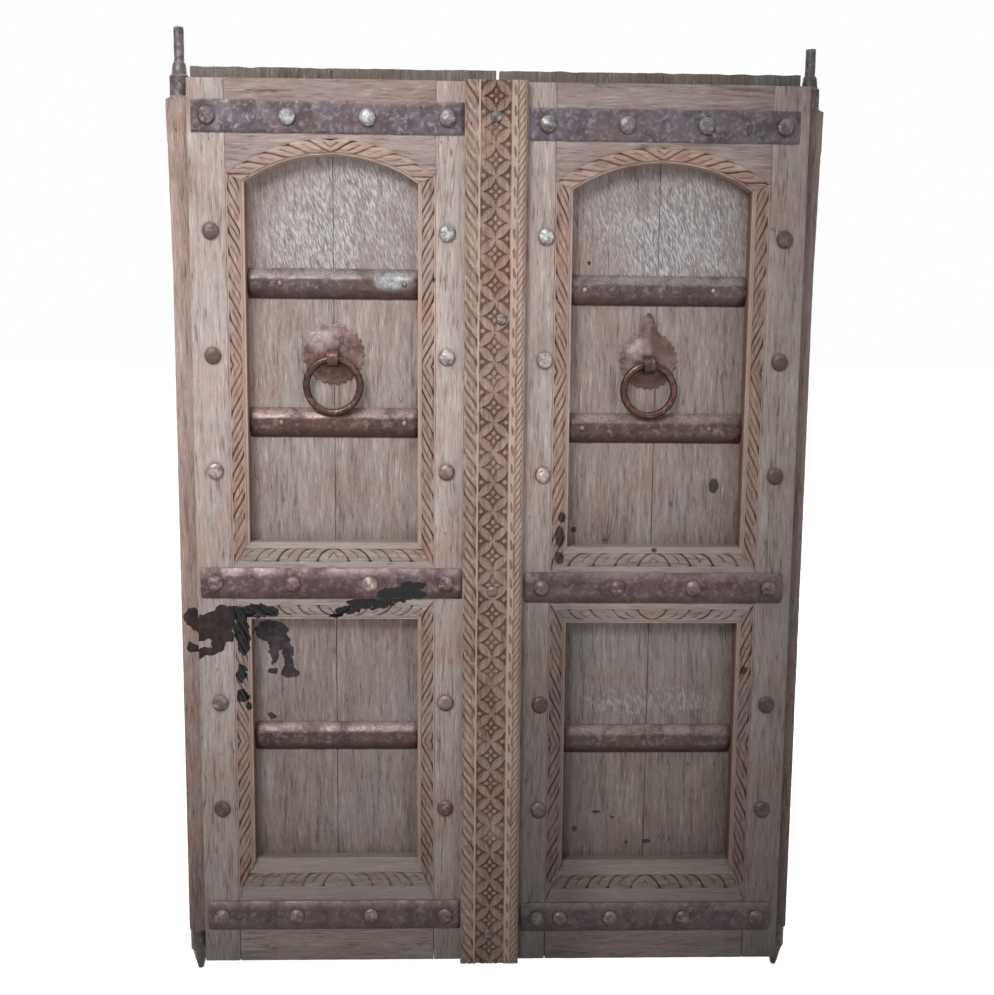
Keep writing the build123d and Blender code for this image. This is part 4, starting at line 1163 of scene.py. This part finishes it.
for side, s in SIDES.items():
    leaf = Leaf(side, s)
    leaf_mouldings(leaf)
    arched_rail(leaf)
    for word in ("hinge_plank", "meeting_plank"):
        worn_board(f"{side}_{word}", "planks", 9 * MM, 0.8 * MM, 0.7 * MM, saw=4 * MM)
    for word in ("outer_stile", "inner_stile"):
        worn_board(f"{side}_{word}", "stiles", 8 * MM)
    for word in ("mid_rail", "bottom_rail"):
        worn_board(f"{side}_{word}", "rails", 7 * MM)
    beaten_copy(f"{side}_pivot_post", "posts", 6 * MM, 0.8 * MM)
    flat_strap(side + "_top_strap", "straps", 2.0 + s)
    for word in ("middle_strap", "bottom_strap"):
        strap_iron(f"{side}_{word}", STRAP_BULGE, "straps", 5.0 + s)
    for number, word in enumerate(("high", "mid", "low")):
        strap_iron(f"{side}_{word}_panel_strap", PANEL_STRAP_BULGE, "panel_straps", 9.0 + s + number)
    hammered_heads(side + "_nails", "nails", 24, 14, 0.5)
    hammered_heads(side + "_tacks", "tacks", 14, 8, 0.3)
    iron_ring(side + "_pull_ring", "pull_rings")
    pull_plate(side + "_pull_plate", "pull_plates", PLATE_TEETH, 3.0 + s)
    beaten_copy(side + "_pull_staple", "pull_eyes", 1.2 * MM, 0.5 * MM)
    for word in ("top", "bottom"):
        beaten_copy(f"{side}_{word}_pivot", "pivots", 2.0 * MM, 0.8 * MM)
carved_strip()
hammered_heads("strip_nails", "nails", 16, 10, 0.4, grow=1.45)

for node, thing in frame["nodes"].items():
    if not thing.hide_render:
        thing.data.materials.clear()
        thing.data.materials.append(finishes[slot_of[node]])


# Camera, where the photograph was taken from

CAMERA_PLACE = Vector((-0.0741, -2.3903, 1.2806))
CAMERA_TURN = math.radians(1.916)
CAMERA_DIP = math.radians(8.099)
CAMERA_ROLL = math.radians(-0.540)
FOCAL_PIXELS = 1300
PICTURE_HEIGHT = 995

ahead = Vector((
    math.sin(CAMERA_TURN) * math.cos(CAMERA_DIP),
    math.cos(CAMERA_TURN) * math.cos(CAMERA_DIP),
    -math.sin(CAMERA_DIP),
))
level = Vector((math.cos(CAMERA_TURN), -math.sin(CAMERA_TURN), 0))
down = ahead.cross(level)
right = level * math.cos(CAMERA_ROLL) + down * math.sin(CAMERA_ROLL)
down = down * math.cos(CAMERA_ROLL) - level * math.sin(CAMERA_ROLL)
lens = bpy.data.cameras.new("camera")
lens.sensor_fit = "VERTICAL"
lens.sensor_height = 36
lens.sensor_width = 36
lens.lens = 36 * FOCAL_PIXELS / PICTURE_HEIGHT
camera = bpy.data.objects.new("camera", lens)
bpy.context.scene.collection.objects.link(camera)
turned = Matrix((right, -down, -ahead)).transposed()
camera.matrix_world = Matrix.Translation(CAMERA_PLACE) @ turned.to_4x4()
bpy.context.scene.camera = camera


# Floor, background and light

def white_floor():
    """Pale floor that shows as white to the camera and still takes the door's shadow."""
    f = Finish("pale_floor")
    f.set(Base_Color=shade(236, 236, 236), Roughness=0.9, Specular_IOR_Level=0.1)
    glow = f.make("ShaderNodeEmission")
    path = f.make("ShaderNodeLightPath")
    seen = f.sum("MAXIMUM", path.outputs["Is Camera Ray"], path.outputs["Is Glossy Ray"])
    seen = f.sum("MAXIMUM", seen, path.outputs["Is Transmission Ray"])
    f.feed(glow.inputs["Strength"], f.sum("MULTIPLY", seen, 0.62))
    both = f.make("ShaderNodeAddShader")
    f.feed(both.inputs[0], f.shader.outputs[0])
    f.feed(both.inputs[1], glow.outputs[0])
    f.feed(f.tree.nodes["Material Output"].inputs["Surface"], both.outputs[0])
    work = bmesh.new()
    bmesh.ops.create_grid(work, x_segments=1, y_segments=1, size=30)
    mesh = bpy.data.meshes.new("floor")
    work.to_mesh(mesh)
    work.free()
    mesh.materials.append(f.material)
    floor = bpy.data.objects.new("floor", mesh)
    bpy.context.scene.collection.objects.link(floor)


def studio_light(name, place, aim, size, power):
    lamp = bpy.data.lights.new(name, "AREA")
    lamp.shape = "DISK"
    lamp.size = size
    lamp.energy = power
    holder = bpy.data.objects.new(name, lamp)
    bpy.context.scene.collection.objects.link(holder)
    holder.location = place
    holder.rotation_euler = (Vector(aim) - Vector(place)).to_track_quat("-Z", "Y").to_euler()


def white_world():
    """Even light all round, and white where the camera or a reflection looks past the door."""
    world = bpy.data.worlds.new("studio")
    world.use_nodes = True
    nodes, links = world.node_tree.nodes, world.node_tree.links
    even = nodes["Background"]
    even.inputs["Color"].default_value = (1, 1, 1, 1)
    path = nodes.new("ShaderNodeLightPath")
    seen = path.outputs["Is Camera Ray"]
    for other in ("Is Glossy Ray", "Is Transmission Ray"):
        either = nodes.new("ShaderNodeMath")
        either.operation = "MAXIMUM"
        links.new(seen, either.inputs[0])
        links.new(path.outputs[other], either.inputs[1])
        seen = either.outputs[0]
    strength = nodes.new("ShaderNodeMapRange")
    links.new(seen, strength.inputs["Value"])
    strength.inputs["To Min"].default_value = 0.55
    strength.inputs["To Max"].default_value = 1.0
    links.new(strength.outputs["Result"], even.inputs["Strength"])
    bpy.context.scene.world = world


white_floor()
white_world()
studio_light("key", (-1.6, -3.4, 3.6), (0, 0, 0.95), 1.6, 125)
studio_light("fill", (2.4, -3.0, 1.4), (0, 0, 0.8), 2.5, 20)
studio_light("back", (0.8, 3.4, 2.4), (0, 0, 0.9), 2.5, 60)
bpy.context.scene.view_settings.view_transform = "Standard"
